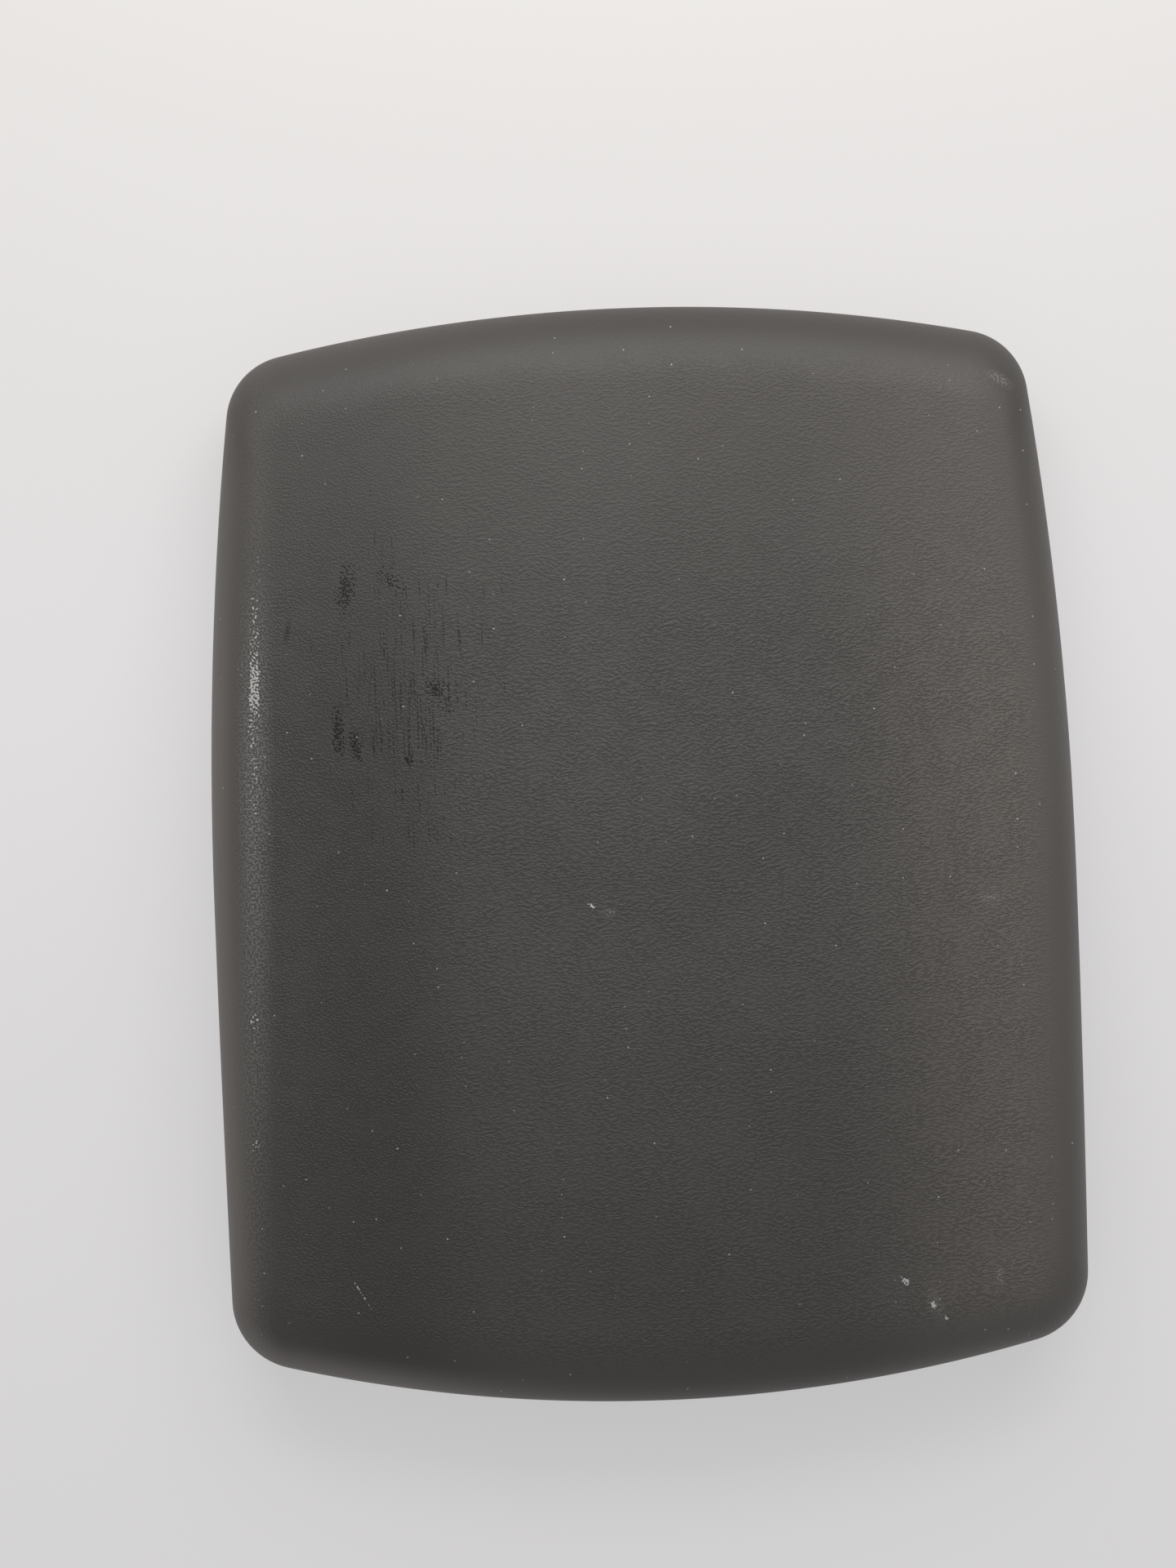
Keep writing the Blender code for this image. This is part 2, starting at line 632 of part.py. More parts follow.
def armrest_core(notch):
    """The carrier: a shell with a ledge for the foam, ribs, screw bosses and the notch."""
    middle = CORE_THICKNESS / 2
    deck = dome_rings(DECK_INSET, CORE_DEPTH, DECK_ROLL_HEIGHT)
    wall = [level_ring(WALL_TUCK + CORE_INSET, CORE_FOOT_Z), ledge_ring(LEDGE_INSET, 0)]
    core = add_part("armrest_core", loft("armrest_core", wall + deck), "carrier_plastic")
    solidify(core, CORE_THICKNESS, -1)

    inside = dome_rings(DECK_INSET + middle, CORE_DEPTH + middle, DECK_ROLL_HEIGHT)
    floor = [(x, y, -CUT_MARGIN) for x, y, _ in inside[0]]
    trim = add_helper("under_deck", loft("under_deck", [[(0, 0, -CUT_MARGIN)], floor] + inside))
    boss_radius = BORE_RADIUS + BOSS_WALL
    hinge_boss_foot = LID_PLATE_Z + SHEET_THICKNESS + CLEARANCE
    bore_depth = SCREW_LENGTH + BOSS_BORE_SPARE - LINER_THICKNESS
    bosses = [(x, y, BOSS_FOOT_Z, bore_depth) for x, y in liner_screw_places() + latch_screw_places()]
    bosses += [(x, y, hinge_boss_foot, HINGE_BORE_DEPTH) for x, y in hinge_screw_places()]
    added = ribs()
    bores = []
    for i, (x, y, foot_z, depth) in enumerate(bosses, start=1):
        added.append(cylinder(f"boss_{i}", boss_radius, (x, y, foot_z), (x, y, LID_HEIGHT), BOSS_STEPS))
        low = (x, y, foot_z - CUT_MARGIN)
        bores.append(cylinder(f"bore_{i}", BORE_RADIUS, low, (x, y, foot_z + depth), SCREW_STEPS))
    grid = added[0]
    combine(grid, added[1:], "UNION")
    combine(grid, [trim], "INTERSECT")
    combine(core, [grid], "UNION")
    combine(core, bores + [notch], "DIFFERENCE")
    return core


def pocket_ring(inward, height):
    """A ring around the liner's pocket, moved in from its mouth."""
    corner = POCKET_CORNER_RADIUS - inward
    margins = (POCKET_SIDE_MARGIN, POCKET_FRONT_MARGIN, POCKET_REAR_MARGIN)
    outline = lid_outline(*[margin + inward for margin in margins], corner, corner)
    return [(x, y, height) for x, y in outline]


def inner_liner():
    """The panel that closes the underside: a flange and a shallow pocket, open at hinge and latch."""
    ceiling_z = LINER_FOOT_Z + POCKET_DEPTH
    rings = [level_ring(LINER_INSET, LINER_FOOT_Z), pocket_ring(0, LINER_FOOT_Z)]
    for i in range(RIM_STEPS + 1):
        angle = i / RIM_STEPS * math.pi / 2
        inward = POCKET_DRAFT + POCKET_EDGE_RADIUS * (1 - math.cos(angle))
        rings.append(pocket_ring(inward, ceiling_z - POCKET_EDGE_RADIUS * (1 - math.sin(angle))))
    rings.append([(0, 0, ceiling_z)])
    liner = add_part("inner_liner", loft("inner_liner", rings), "liner_plastic")
    solidify(liner, LINER_THICKNESS, 1)

    top = LINER_TOP_Z + CUT_MARGIN
    window = box(
        "hinge_window",
        (-WINDOW_HALF_WIDTH, -LID_LENGTH / 2, -CUT_MARGIN),
        (WINDOW_HALF_WIDTH, WINDOW_FRONT_Y, top),
    )
    mouth = box(
        "latch_mouth",
        (-FLANGE_HALF_WIDTH - CLEARANCE, HOUSING_REAR_Y - CLEARANCE, -CUT_MARGIN),
        (FLANGE_HALF_WIDTH + CLEARANCE, LID_LENGTH / 2, top),
    )
    holes = []
    for i, (x, y) in enumerate(liner_screw_places(), start=1):
        holes.append(cylinder(f"liner_hole_{i}", BORE_RADIUS, (x, y, 0), (x, y, top), SCREW_STEPS))
    stem_hole = BUMPER_STEM_RADIUS + CLEARANCE
    for i, (x, y) in enumerate(bumper_places(), start=1):
        holes.append(cylinder(f"bumper_hole_{i}", stem_hole, (x, y, 0), (x, y, top), SCREW_STEPS))
    combine(liner, [window, mouth] + holes, "DIFFERENCE")
    return liner


def pan_head_screw(name, x, y, seat_z, length):
    """A pan-head screw, driven upwards, with its head under the seat and a cross recess."""
    head_foot = seat_z - CLEARANCE - SCREW_HEAD_HEIGHT
    head_top = SCREW_HEAD_HEIGHT
    profile = [
        (0, head_top + length),
        (SCREW_RADIUS / 2, head_top + length),
        (SCREW_RADIUS, head_top + length - SCREW_TIP_LENGTH),
        (SCREW_RADIUS, head_top),
        (SCREW_HEAD_RADIUS, head_top),
        (SCREW_HEAD_RADIUS, head_top / 2),
        (SCREW_HEAD_RADIUS * 0.8, 0),
        (0, 0),
    ]
    screw = turned(name, profile, (x, y, head_foot), "black_steel", SCREW_STEPS)
    half_length = SCREW_RECESS_LENGTH / 2
    half_width = SCREW_RECESS_WIDTH / 2
    top = head_foot + SCREW_RECESS_DEPTH
    bottom = head_foot - CUT_MARGIN
    for way, (dx, dy) in {"a": (half_length, half_width), "b": (half_width, half_length)}.items():
        slot = box(f"{name}_recess_{way}", (x - dx, y - dy, bottom), (x + dx, y + dy, top))
        combine(screw, [slot], "DIFFERENCE")
    return screw


def bumper(name, x, y):
    """A rubber bumper: a foot under the liner's flange, a stem through it and a bulb above."""
    top = LINER_THICKNESS + 2 * CLEARANCE
    profile = [
        (0, top + BUMPER_BULB_HEIGHT),
        (BUMPER_STEM_RADIUS / 2, top + BUMPER_BULB_HEIGHT),
        (BUMPER_BULB_RADIUS, top),
        (BUMPER_STEM_RADIUS, top),
        (BUMPER_STEM_RADIUS, 0),
        (BUMPER_RADIUS, 0),
        (BUMPER_RADIUS, -BUMPER_HEIGHT / 2),
        (BUMPER_RADIUS * 0.75, -BUMPER_HEIGHT),
        (0, -BUMPER_HEIGHT),
    ]
    place = (x, y, LINER_FOOT_Z - CLEARANCE)
    return turned(name, profile, place, "bumper_rubber", SCREW_STEPS)


def tangent_angle(point, centre, radius, side):
    """Angle on a circle at which a line from an outside point touches it, on either side."""
    reach = Vector(point) - Vector(centre)
    return math.atan2(reach.y, reach.x) + side * math.acos(radius / reach.length)


def ear_outline(start, end):
    """Side view of a bracket's ear: around the hinge axis, with a tangent from each foot point."""
    axis = (HINGE_AXIS.y, HINGE_AXIS.z)
    first = tangent_angle(start, axis, EAR_RADIUS, 1)
    last = tangent_angle(end, axis, EAR_RADIUS, -1)
    if last < first:
        last += 2 * math.pi
    rounding = arc(axis, EAR_RADIUS, first, last, ROUND_STEPS // 2)
    return [start] + rounding + [on_circle(axis, EAR_RADIUS, last), end]


def channel_outline(half_width, web_z, ear_z):
    """Front view of a sheet bent into a channel: a web at one height and two upright ears."""
    way = 1 if ear_z > web_z else -1
    outer_radius = BEND_RADIUS + SHEET_THICKNESS
    centre = (half_width - outer_radius, web_z + way * outer_radius)
    right = []
    for radius in (outer_radius, BEND_RADIUS):
        bend = arc(centre, radius, 0, -way * math.pi / 2, SHEET_BEND_STEPS)
        side = [(centre[0] + radius, ear_z)] + bend + [(centre[0], centre[1] - way * radius)]
        right.append(side)
    outer, inner = right
    left_outer = [(-x, z) for x, z in reversed(outer)]
    left_inner = [(-x, z) for x, z in inner]
    return outer + left_outer + left_inner + list(reversed(inner))


def hinge_base_bracket():
    """The folded bracket that is screwed to the console: a drilled foot with an ear at each end."""
    foot_rear = HINGE_AXIS.y + FOOT_SETBACK
    foot_front = HINGE_AXIS.y + FOOT_REACH
    ear_front = HINGE_AXIS.y + BASE_EAR_FOOT
    half_width = BASE_EAR_X + SHEET_THICKNESS
    ear_top = HINGE_AXIS.z + EAR_RADIUS + CUT_MARGIN
    low_y = HINGE_AXIS.y - EAR_RADIUS - CUT_MARGIN
    channel = channel_outline(half_width, 0, ear_top)
    bracket = front_plate("hinge_base_bracket", channel, low_y, foot_front + CUT_MARGIN)
    edge_z = SHEET_THICKNESS + EDGE_UPSTAND
    silhouette = [(foot_front, -CUT_MARGIN), (foot_front, edge_z)]
    silhouette += ear_outline((ear_front, edge_z), (foot_rear, 0))
    silhouette += [(foot_rear, -CUT_MARGIN)]
    side_view = side_plate("base_side_view", silhouette, -LID_WIDTH / 2, LID_WIDTH / 2)
    inner_x = BASE_EAR_X - 2 * BEND_RADIUS
    behind_foot = box(
        "behind_foot",
        (-inner_x, low_y - CUT_MARGIN, -CUT_MARGIN),
        (inner_x, foot_rear, SHEET_THICKNESS + CUT_MARGIN),
    )
    cutters = [behind_foot, ear_bore("base_ear_bore", BUSH_RADIUS + CLEARANCE)]
    hole_y = HINGE_AXIS.y + FOOT_HOLE_SETBACK
    hole_xs = [side * x for x in FOOT_HOLE_XS for side in (-1, 1)]
    for i, x in enumerate(hole_xs, start=1):
        low = (x, hole_y, -CUT_MARGIN)
        cutters.append(cylinder(f"foot_hole_{i}", FOOT_HOLE_RADIUS, low, (x, hole_y, CUT_MARGIN)))
    combine(bracket, [side_view], "INTERSECT")
    combine(bracket, cutters, "DIFFERENCE")
    return make_part(bracket, "zinc_plated_steel")


def hinge_lid_bracket():
    """The folded bracket under the lid: a plate on the carrier's bosses with an ear at each end."""
    plate_rear = HINGE_AXIS.y - LID_PLATE_OVERHANG
    plate_front = HINGE_AXIS.y + LID_PLATE_REACH
    ear_front = HINGE_AXIS.y + LID_EAR_FOOT
    plate_top = LID_PLATE_Z + SHEET_THICKNESS
    low_y = HINGE_AXIS.y - EAR_RADIUS - CUT_MARGIN
    ear_bottom = HINGE_AXIS.z - EAR_RADIUS - CUT_MARGIN
    channel = channel_outline(LID_EAR_X + SHEET_THICKNESS, plate_top, ear_bottom)
    bracket = front_plate("hinge_lid_bracket", channel, low_y, plate_front + CUT_MARGIN)
    silhouette = [(plate_front, plate_top + CUT_MARGIN), (plate_rear, plate_top + CUT_MARGIN)]
    edge_z = LID_PLATE_Z - EDGE_UPSTAND
    silhouette += ear_outline((plate_rear, edge_z), (ear_front, edge_z))
    silhouette += [(plate_front, edge_z)]
    side_view = side_plate("lid_side_view", silhouette, -LID_WIDTH / 2, LID_WIDTH / 2)
    cutters = [ear_bore("lid_ear_bore", HINGE_PIN_RADIUS + CLEARANCE)]
    for i, (x, y) in enumerate(hinge_screw_places(), start=1):
        low, high = (x, y, HINGE_AXIS.z), (x, y, plate_top + CUT_MARGIN)
        cutters.append(cylinder(f"plate_hole_{i}", BORE_RADIUS, low, high, SCREW_STEPS))
    combine(bracket, [side_view], "INTERSECT")
    combine(bracket, cutters, "DIFFERENCE")
    return make_part(bracket, "zinc_plated_steel")


def ear_bore(name, radius):
    """The cutter of a bore through a bracket's ears on the hinge axis."""
    reach = Vector((LID_WIDTH / 2, 0, 0))
    return cylinder(name, radius, HINGE_AXIS - reach, HINGE_AXIS + reach)


def pin(name, axis, seat_x, far_x, radius, head_radius, head_thickness):
    """A headed pin along X: its head outside the left seat, its tail at the far end."""
    head_x = -(seat_x + CLEARANCE + head_thickness)
    length = far_x - head_x
    profile = [
        (0, length),
        (radius * 0.7, length),
        (radius, length - radius * 0.3),
        (radius, head_thickness),
        (head_radius, head_thickness),
        (head_radius, head_thickness * 0.4),
        (head_radius * 0.8, 0),
        (0, 0),
    ]
    place = (head_x, axis.y, axis.z)
    return turned(name, profile, place, "zinc_plated_steel", ROUND_STEPS, along_x=1)


def hinge_bush(name, side):
    """A flanged nylon bush through a base ear, its flange between the two brackets."""
    bore = HINGE_PIN_RADIUS + CLEARANCE
    length = BUSH_FLANGE_THICKNESS + CLEARANCE + SHEET_THICKNESS
    profile = [
        (bore, length),
        (BUSH_RADIUS, length),
        (BUSH_RADIUS, BUSH_FLANGE_THICKNESS),
        (BUSH_FLANGE_RADIUS, BUSH_FLANGE_THICKNESS),
        (BUSH_FLANGE_RADIUS, 0),
        (bore, 0),
    ]
    flange_x = side * (BASE_EAR_X - CLEARANCE - BUSH_FLANGE_THICKNESS)
    place = (flange_x, HINGE_AXIS.y, HINGE_AXIS.z)
    return turned(name, profile, place, "bush_nylon", ROUND_STEPS, closed=True, along_x=side)


def hinge_pin_clip():
    """The push-on nut that keeps the hinge pin in: a ring that is dished towards its bore."""
    bore = HINGE_PIN_RADIUS + CLEARANCE
    profile = [
        (bore, CLIP_THICKNESS),
        (CLIP_RADIUS * 0.7, CLIP_THICKNESS * 0.8),
        (CLIP_RADIUS, CLIP_THICKNESS * 0.5),
        (CLIP_RADIUS, 0),
        (bore, CLIP_THICKNESS * 0.4),
    ]
    place = (BASE_EAR_X + SHEET_THICKNESS + CLEARANCE, HINGE_AXIS.y, HINGE_AXIS.z)
    return turned("hinge_pin_clip", profile, place, "spring_steel", ROUND_STEPS, closed=True, along_x=1)


def torsion_spring(name, axis, centre_x, coil, wire_radius, legs, way):
    """A torsion spring on an axis along X, with a straight leg from each end of its coil.

    The coil is its radius, turns and pitch. Each leg ends at a (y, z) place, and way is the
    sense in which the coil winds from the first leg to the second.
    """
    radius, turns, pitch = coil
    centre = (axis.y, axis.z)
    first = tangent_angle(legs[0], centre, radius, way)
    last = tangent_angle(legs[1], centre, radius, -way) + way * turns * 2 * math.pi
    steps = turns * COIL_STEPS
    points = []
    for i in range(steps + 1):
        angle = blend(first, last, i / steps)
        x = centre_x + blend(-0.5, 0.5, i / steps) * turns * pitch
        points.append((x, axis.y + radius * math.cos(angle), axis.z + radius * math.sin(angle)))
    points.insert(0, (points[0][0], *legs[0]))
    points.append((points[-1][0], *legs[1]))

    curve = bpy.data.curves.new(name, "CURVE")
    curve.dimensions = "3D"
    curve.bevel_depth = wire_radius
    curve.bevel_resolution = 2
    curve.use_fill_caps = True
    spline = curve.splines.new("POLY")
    spline.points.add(len(points) - 1)
    for spot, place in zip(spline.points, points):
        spot.co = (*place, POINT_WEIGHT)
    return add_part(name, curve, "spring_steel")


def hinge_spring():
    """The lid's lifting spring: one leg on the base's foot, the other under the lid's plate."""
    away = CLEARANCE + HINGE_WIRE_RADIUS
    leg_y = HINGE_AXIS.y + HINGE_SPRING_LEG
    legs = ((leg_y, SHEET_THICKNESS + away), (leg_y, LID_PLATE_Z - away))
    coil = (HINGE_COIL_RADIUS, HINGE_COIL_TURNS, HINGE_COIL_PITCH)
    return torsion_spring("hinge_spring", HINGE_AXIS, 0, coil, HINGE_WIRE_RADIUS, legs, -1)


def latch_spring():
    """The paddle's return spring: one leg on the paddle, the other under the housing's ceiling."""
    away = CLEARANCE + LATCH_WIRE_RADIUS
    leg_y = LATCH_AXIS.y + LATCH_SPRING_LEG
    paddle_z = LATCH_AXIS.z - LEVER_PLATE_DROP + away
    ceiling_z = HOUSING_TOP_Z - HOUSING_WALL - away
    legs = ((leg_y, paddle_z), (leg_y, ceiling_z))
    coil = (LATCH_COIL_RADIUS, LATCH_COIL_TURNS, LATCH_COIL_PITCH)
    return torsion_spring("latch_spring", LATCH_AXIS, LATCH_COIL_X, coil, LATCH_WIRE_RADIUS, legs, 1)


def housing_outline(inset, foot_z):
    """Side view of the latch housing, moved in from its outer faces by an inset."""
    radius = HOUSING_CORNER_RADIUS - inset
    low_y = HOUSING_REAR_Y + inset
    high_y = HOUSING_FRONT_Y - inset
    corner_z = HOUSING_TOP_Z - HOUSING_CORNER_RADIUS
    quarter = math.pi / 2
    points = [(low_y, foot_z), (high_y, foot_z)]
    points += arc((high_y - radius, corner_z), radius, 0, quarter, SHEET_BEND_STEPS)
    points.append((high_y - radius, corner_z + radius))
    points += arc((low_y + radius, corner_z), radius, quarter, 2 * quarter, SHEET_BEND_STEPS)
    points.append((low_y, corner_z))
    return points


def latch_bezel():
    """The latch housing: a box open below, screwed on by its flanges, with the finger sleeve."""
    outer = housing_outline(0, LINER_FOOT_Z)
    bezel = side_plate("latch_bezel", outer, -HOUSING_OUTER_X, HOUSING_OUTER_X)
    flange = rounded_rectangle(
        (-FLANGE_HALF_WIDTH, HOUSING_REAR_Y),
        (FLANGE_HALF_WIDTH, HOUSING_FRONT_Y),
        HOUSING_CORNER_RADIUS,
    )
    sleeve_x = NOTCH_HALF_WIDTH - CLEARANCE
    sleeve_top = NOTCH_HEIGHT - CLEARANCE
    sleeve_rear = HOUSING_FRONT_Y - HOUSING_WALL / 2
    sleeve_front = LID_LENGTH / 2 - SLEEVE_SETBACK
    added = [
        plan_plate("latch_flange", flange, LINER_FOOT_Z, LINER_TOP_Z),
        box("sleeve", (-sleeve_x, sleeve_rear, SLEEVE_FOOT_Z), (sleeve_x, sleeve_front, sleeve_top)),
    ]
    opening_x = sleeve_x - SLEEVE_WALL
    opening_low = (-opening_x, HOUSING_FRONT_Y - HOUSING_WALL - CUT_MARGIN, -CUT_MARGIN)
    opening_high = (opening_x, LID_LENGTH / 2 + CUT_MARGIN, sleeve_top - SLEEVE_WALL)
    inner = housing_outline(HOUSING_WALL, -CUT_MARGIN)
    cutters = [
        side_plate("housing_hollow", inner, -HOUSING_HALF_WIDTH, HOUSING_HALF_WIDTH),
        box("finger_opening", opening_low, opening_high),
        latch_bore("bezel_pin_bore"),
    ]
    for i, (x, y) in enumerate(latch_screw_places(), start=1):
        top = LINER_TOP_Z + CUT_MARGIN
        cutters.append(cylinder(f"bezel_hole_{i}", BORE_RADIUS, (x, y, 0), (x, y, top), SCREW_STEPS))
    combine(bezel, added, "UNION")
    combine(bezel, cutters, "DIFFERENCE")
    return make_part(bezel, "latch_plastic")


def latch_bore(name):
    """The cutter of a bore for the latch pin."""
    reach = Vector((FLANGE_HALF_WIDTH, 0, 0))
    return cylinder(name, LATCH_PIN_RADIUS + CLEARANCE, LATCH_AXIS - reach, LATCH_AXIS + reach)


def latch_lever():
    """The latch paddle: a hub on the pin, a lipped finger plate, the hook and a stop lug."""
    y, z = LATCH_AXIS.y, LATCH_AXIS.z
    half = LEVER_HALF_WIDTH
    hub = cylinder("latch_lever", LEVER_HUB_RADIUS, (-half, y, z), (half, y, z))
    plate_top = z - LEVER_PLATE_DROP
    plate_foot = plate_top - LEVER_PLATE_THICKNESS
    tip_y = y + LEVER_REACH
    plate = [
        (y, plate_foot),
        (tip_y - LEVER_LIP_THICKNESS, plate_foot),
        (tip_y - LEVER_LIP_THICKNESS, plate_top - LEVER_LIP_DEPTH),
        (tip_y, plate_top - LEVER_LIP_DEPTH),
        (tip_y, plate_top),
        (y, plate_top),
    ]
    hook_half = HOOK_THICKNESS / 2
    hook_foot = z - HOOK_DEPTH
    hook = [
        (y + hook_half, z),
        (y - hook_half, z),
        (y - hook_half, hook_foot + HOOK_TIP_HEIGHT),
        (y - hook_half - HOOK_TIP_REACH, hook_foot + HOOK_TIP_HEIGHT),
        (y - hook_half - HOOK_TIP_REACH, hook_foot + HOOK_CAM_RISE),
        (y - hook_half, hook_foot),
        (y + hook_half, hook_foot),
    ]
    lug_top = HOUSING_TOP_Z - HOUSING_WALL - CLEARANCE
    lug_rear = y - LEVER_HUB_RADIUS - STOP_LUG_LENGTH
    added = [
        side_plate("finger_plate", plate, -half, half),
        side_plate("hook", hook, -HOOK_HALF_WIDTH, HOOK_HALF_WIDTH),
        box(
            "stop_lug",
            (STOP_LUG_X - STOP_LUG_HALF_WIDTH, lug_rear, z),
            (STOP_LUG_X + STOP_LUG_HALF_WIDTH, y - hook_half, lug_top),
        ),
    ]
    coil_reach = LATCH_COIL_RADIUS + LATCH_WIRE_RADIUS + COIL_SLOT_GAP
    slot = box(
        "coil_slot",
        (LATCH_COIL_X - COIL_SLOT_HALF_WIDTH, y - coil_reach, z - CUT_MARGIN - LEVER_HUB_RADIUS),
        (LATCH_COIL_X + COIL_SLOT_HALF_WIDTH, y + coil_reach, z + CUT_MARGIN + LEVER_HUB_RADIUS),
    )
    combine(hub, added, "UNION")
    combine(hub, [slot, latch_bore("lever_pin_bore")], "DIFFERENCE")
    return make_part(hub, "latch_plastic")


def axis_empty(name, place, parent=None):
    """An empty on a joint's axis, which carries what turns there."""
    empty = bpy.data.objects.new(name, None)
    empty.empty_display_size = LID_WIDTH / 4
    empty.location = place
    bpy.data.collections[PARTS].objects.link(empty)
    if parent:
        carry(parent, [empty])
    return empty


def carry(parent, children):
    """Parent pieces without moving them."""
    bpy.context.view_layer.update()
    for child in children:
        child.parent = parent
        child.matrix_parent_inverse = parent.matrix_world.inverted()


def main():
    """Build every sub-part of the lid and hang the moving ones on their axes."""
    clear_scene()
    notch = finger_notch()
    lid = [cover_skin(notch), foam_pad(), armrest_core(notch), inner_liner()]
    for i, (x, y) in enumerate(liner_screw_places(), start=1):
        lid.append(pan_head_screw(f"liner_screw_{i}", x, y, LINER_FOOT_Z, SCREW_LENGTH))
    for i, (x, y) in enumerate(latch_screw_places(), start=1):
        lid.append(pan_head_screw(f"latch_screw_{i}", x, y, LINER_FOOT_Z, SCREW_LENGTH))
    for i, (x, y) in enumerate(hinge_screw_places(), start=1):
        lid.append(pan_head_screw(f"hinge_screw_{i}", x, y, LID_PLATE_Z, HINGE_SCREW_LENGTH))
    for i, (x, y) in enumerate(bumper_places(), start=1):
        lid.append(bumper(f"bumper_{i}", x, y))
    latch_far_x = HOUSING_OUTER_X + LATCH_PIN_TAIL
    lid += [
        latch_bezel(),
        pin(
            "latch_pin",
            LATCH_AXIS,
            HOUSING_OUTER_X,
            latch_far_x,
            LATCH_PIN_RADIUS,
            LATCH_PIN_HEAD_RADIUS,
            LATCH_PIN_HEAD_THICKNESS,
        ),
        latch_spring(),
        hinge_lid_bracket(),
        hinge_spring(),
    ]
    hinge_seat_x = BASE_EAR_X + SHEET_THICKNESS
    hinge_base_bracket()
    pin(
        "hinge_pin",
        HINGE_AXIS,
        hinge_seat_x,
        hinge_seat_x + CLEARANCE + CLIP_THICKNESS + HINGE_PIN_TAIL,
        HINGE_PIN_RADIUS,
        HINGE_PIN_HEAD_RADIUS,
        HINGE_PIN_HEAD_THICKNESS,
    )
    hinge_bush("hinge_bush_left", -1)
    hinge_bush("hinge_bush_right", 1)
    hinge_pin_clip()
    lid_axis = axis_empty("lid_hinge_axis", HINGE_AXIS)
    carry(lid_axis, lid)
    latch_axis = axis_empty("latch_axis", LATCH_AXIS, lid_axis)
    carry(latch_axis, [latch_lever()])


main()
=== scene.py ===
"""Looks of a center console armrest lid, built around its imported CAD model.

The lid is a grained skin over foam on a ribbed carrier, closed below by an inner liner, with
a hinge at its rear and a paddle latch at its front. It lies on its rim on a plain pale floor,
and the camera looks down on the padded top from where the photograph was taken.
"""

import logging
import math
from collections.abc import Iterable, Iterator, Mapping, Sequence
from contextlib import contextmanager
from dataclasses import dataclass
from enum import Enum
from typing import Any

import bmesh
import bpy
import numpy as np
from mathutils import Matrix, Vector


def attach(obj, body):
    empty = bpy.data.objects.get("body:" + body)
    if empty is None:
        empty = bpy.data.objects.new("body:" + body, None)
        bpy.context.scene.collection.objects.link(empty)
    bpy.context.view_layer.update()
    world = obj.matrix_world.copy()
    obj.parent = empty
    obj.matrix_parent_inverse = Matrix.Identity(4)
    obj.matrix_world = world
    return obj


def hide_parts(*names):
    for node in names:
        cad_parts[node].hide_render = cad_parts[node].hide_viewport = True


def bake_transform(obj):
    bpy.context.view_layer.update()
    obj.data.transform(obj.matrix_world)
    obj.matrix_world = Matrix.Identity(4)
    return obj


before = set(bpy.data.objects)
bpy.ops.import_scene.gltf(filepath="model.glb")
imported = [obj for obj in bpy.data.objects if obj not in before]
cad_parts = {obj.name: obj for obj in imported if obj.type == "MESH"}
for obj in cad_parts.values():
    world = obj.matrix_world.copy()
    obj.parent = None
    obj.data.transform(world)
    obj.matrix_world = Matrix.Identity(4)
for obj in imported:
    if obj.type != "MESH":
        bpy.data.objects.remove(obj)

LOG = logging.getLogger("armrest_lid")
MM = 0.001
QUARTER = math.pi / 2
TURN = 2 * math.pi
MERGE_DISTANCE = 0.002 * MM
SMOOTH_ANGLE = math.radians(34)
FLAT_ANGLE = math.radians(0.5)

Colour = tuple[float, float, float]
Place = tuple[float, float, float]
Spot = tuple[float, float]
Span = tuple[float, float]
Ring = list[Place]


def blend(start: float, end: float, share: float) -> float:
    """The value that lies at a share of the way from start to end."""
    return start + (end - start) * share


# Node trees


class Wire:
    """A node's output that takes part in plain arithmetic."""

    def __init__(self, graph: "Graph", socket: bpy.types.NodeSocket) -> None:
        """Keep the output and the graph that it belongs to."""
        self.graph = graph
        self.socket = socket

    def __add__(self, other: "Wire | float") -> "Wire":
        """Sum with a wire or a number."""
        return self.graph.maths("ADD", self, other)

    def __radd__(self, other: float) -> "Wire":
        """Sum with a number on the left."""
        return self.graph.maths("ADD", other, self)

    def __sub__(self, other: "Wire | float") -> "Wire":
        """Difference to a wire or a number."""
        return self.graph.maths("SUBTRACT", self, other)

    def __rsub__(self, other: float) -> "Wire":
        """Difference from a number on the left."""
        return self.graph.maths("SUBTRACT", other, self)

    def __mul__(self, other: "Wire | float") -> "Wire":
        """Product with a wire or a number."""
        return self.graph.maths("MULTIPLY", self, other)

    def __rmul__(self, other: float) -> "Wire":
        """Product with a number on the left."""
        return self.graph.maths("MULTIPLY", other, self)

    def __truediv__(self, other: "Wire | float") -> "Wire":
        """Quotient by a wire or a number."""
        return self.graph.maths("DIVIDE", self, other)

    def __rtruediv__(self, other: float) -> "Wire":
        """Quotient of a number by this wire."""
        return self.graph.maths("DIVIDE", other, self)

    def __abs__(self) -> "Wire":
        """Size of this wire without its sign."""
        return self.graph.maths("ABSOLUTE", self)

    def at_most(self, other: "Wire | float") -> "Wire":
        """The smaller one of this wire and another value."""
        return self.graph.maths("MINIMUM", self, other)

    def at_least(self, other: "Wire | float") -> "Wire":
        """The larger one of this wire and another value."""
        return self.graph.maths("MAXIMUM", self, other)

    def rise(self, low: float, high: float) -> "Wire":
        """A soft step from 0 at low to 1 at high; it falls where low is above high."""
        sockets = {"Value": self, "From Min": low, "From Max": high}
        return self.graph.wire("ShaderNodeMapRange", {"interpolation_type": "SMOOTHSTEP"}, sockets)


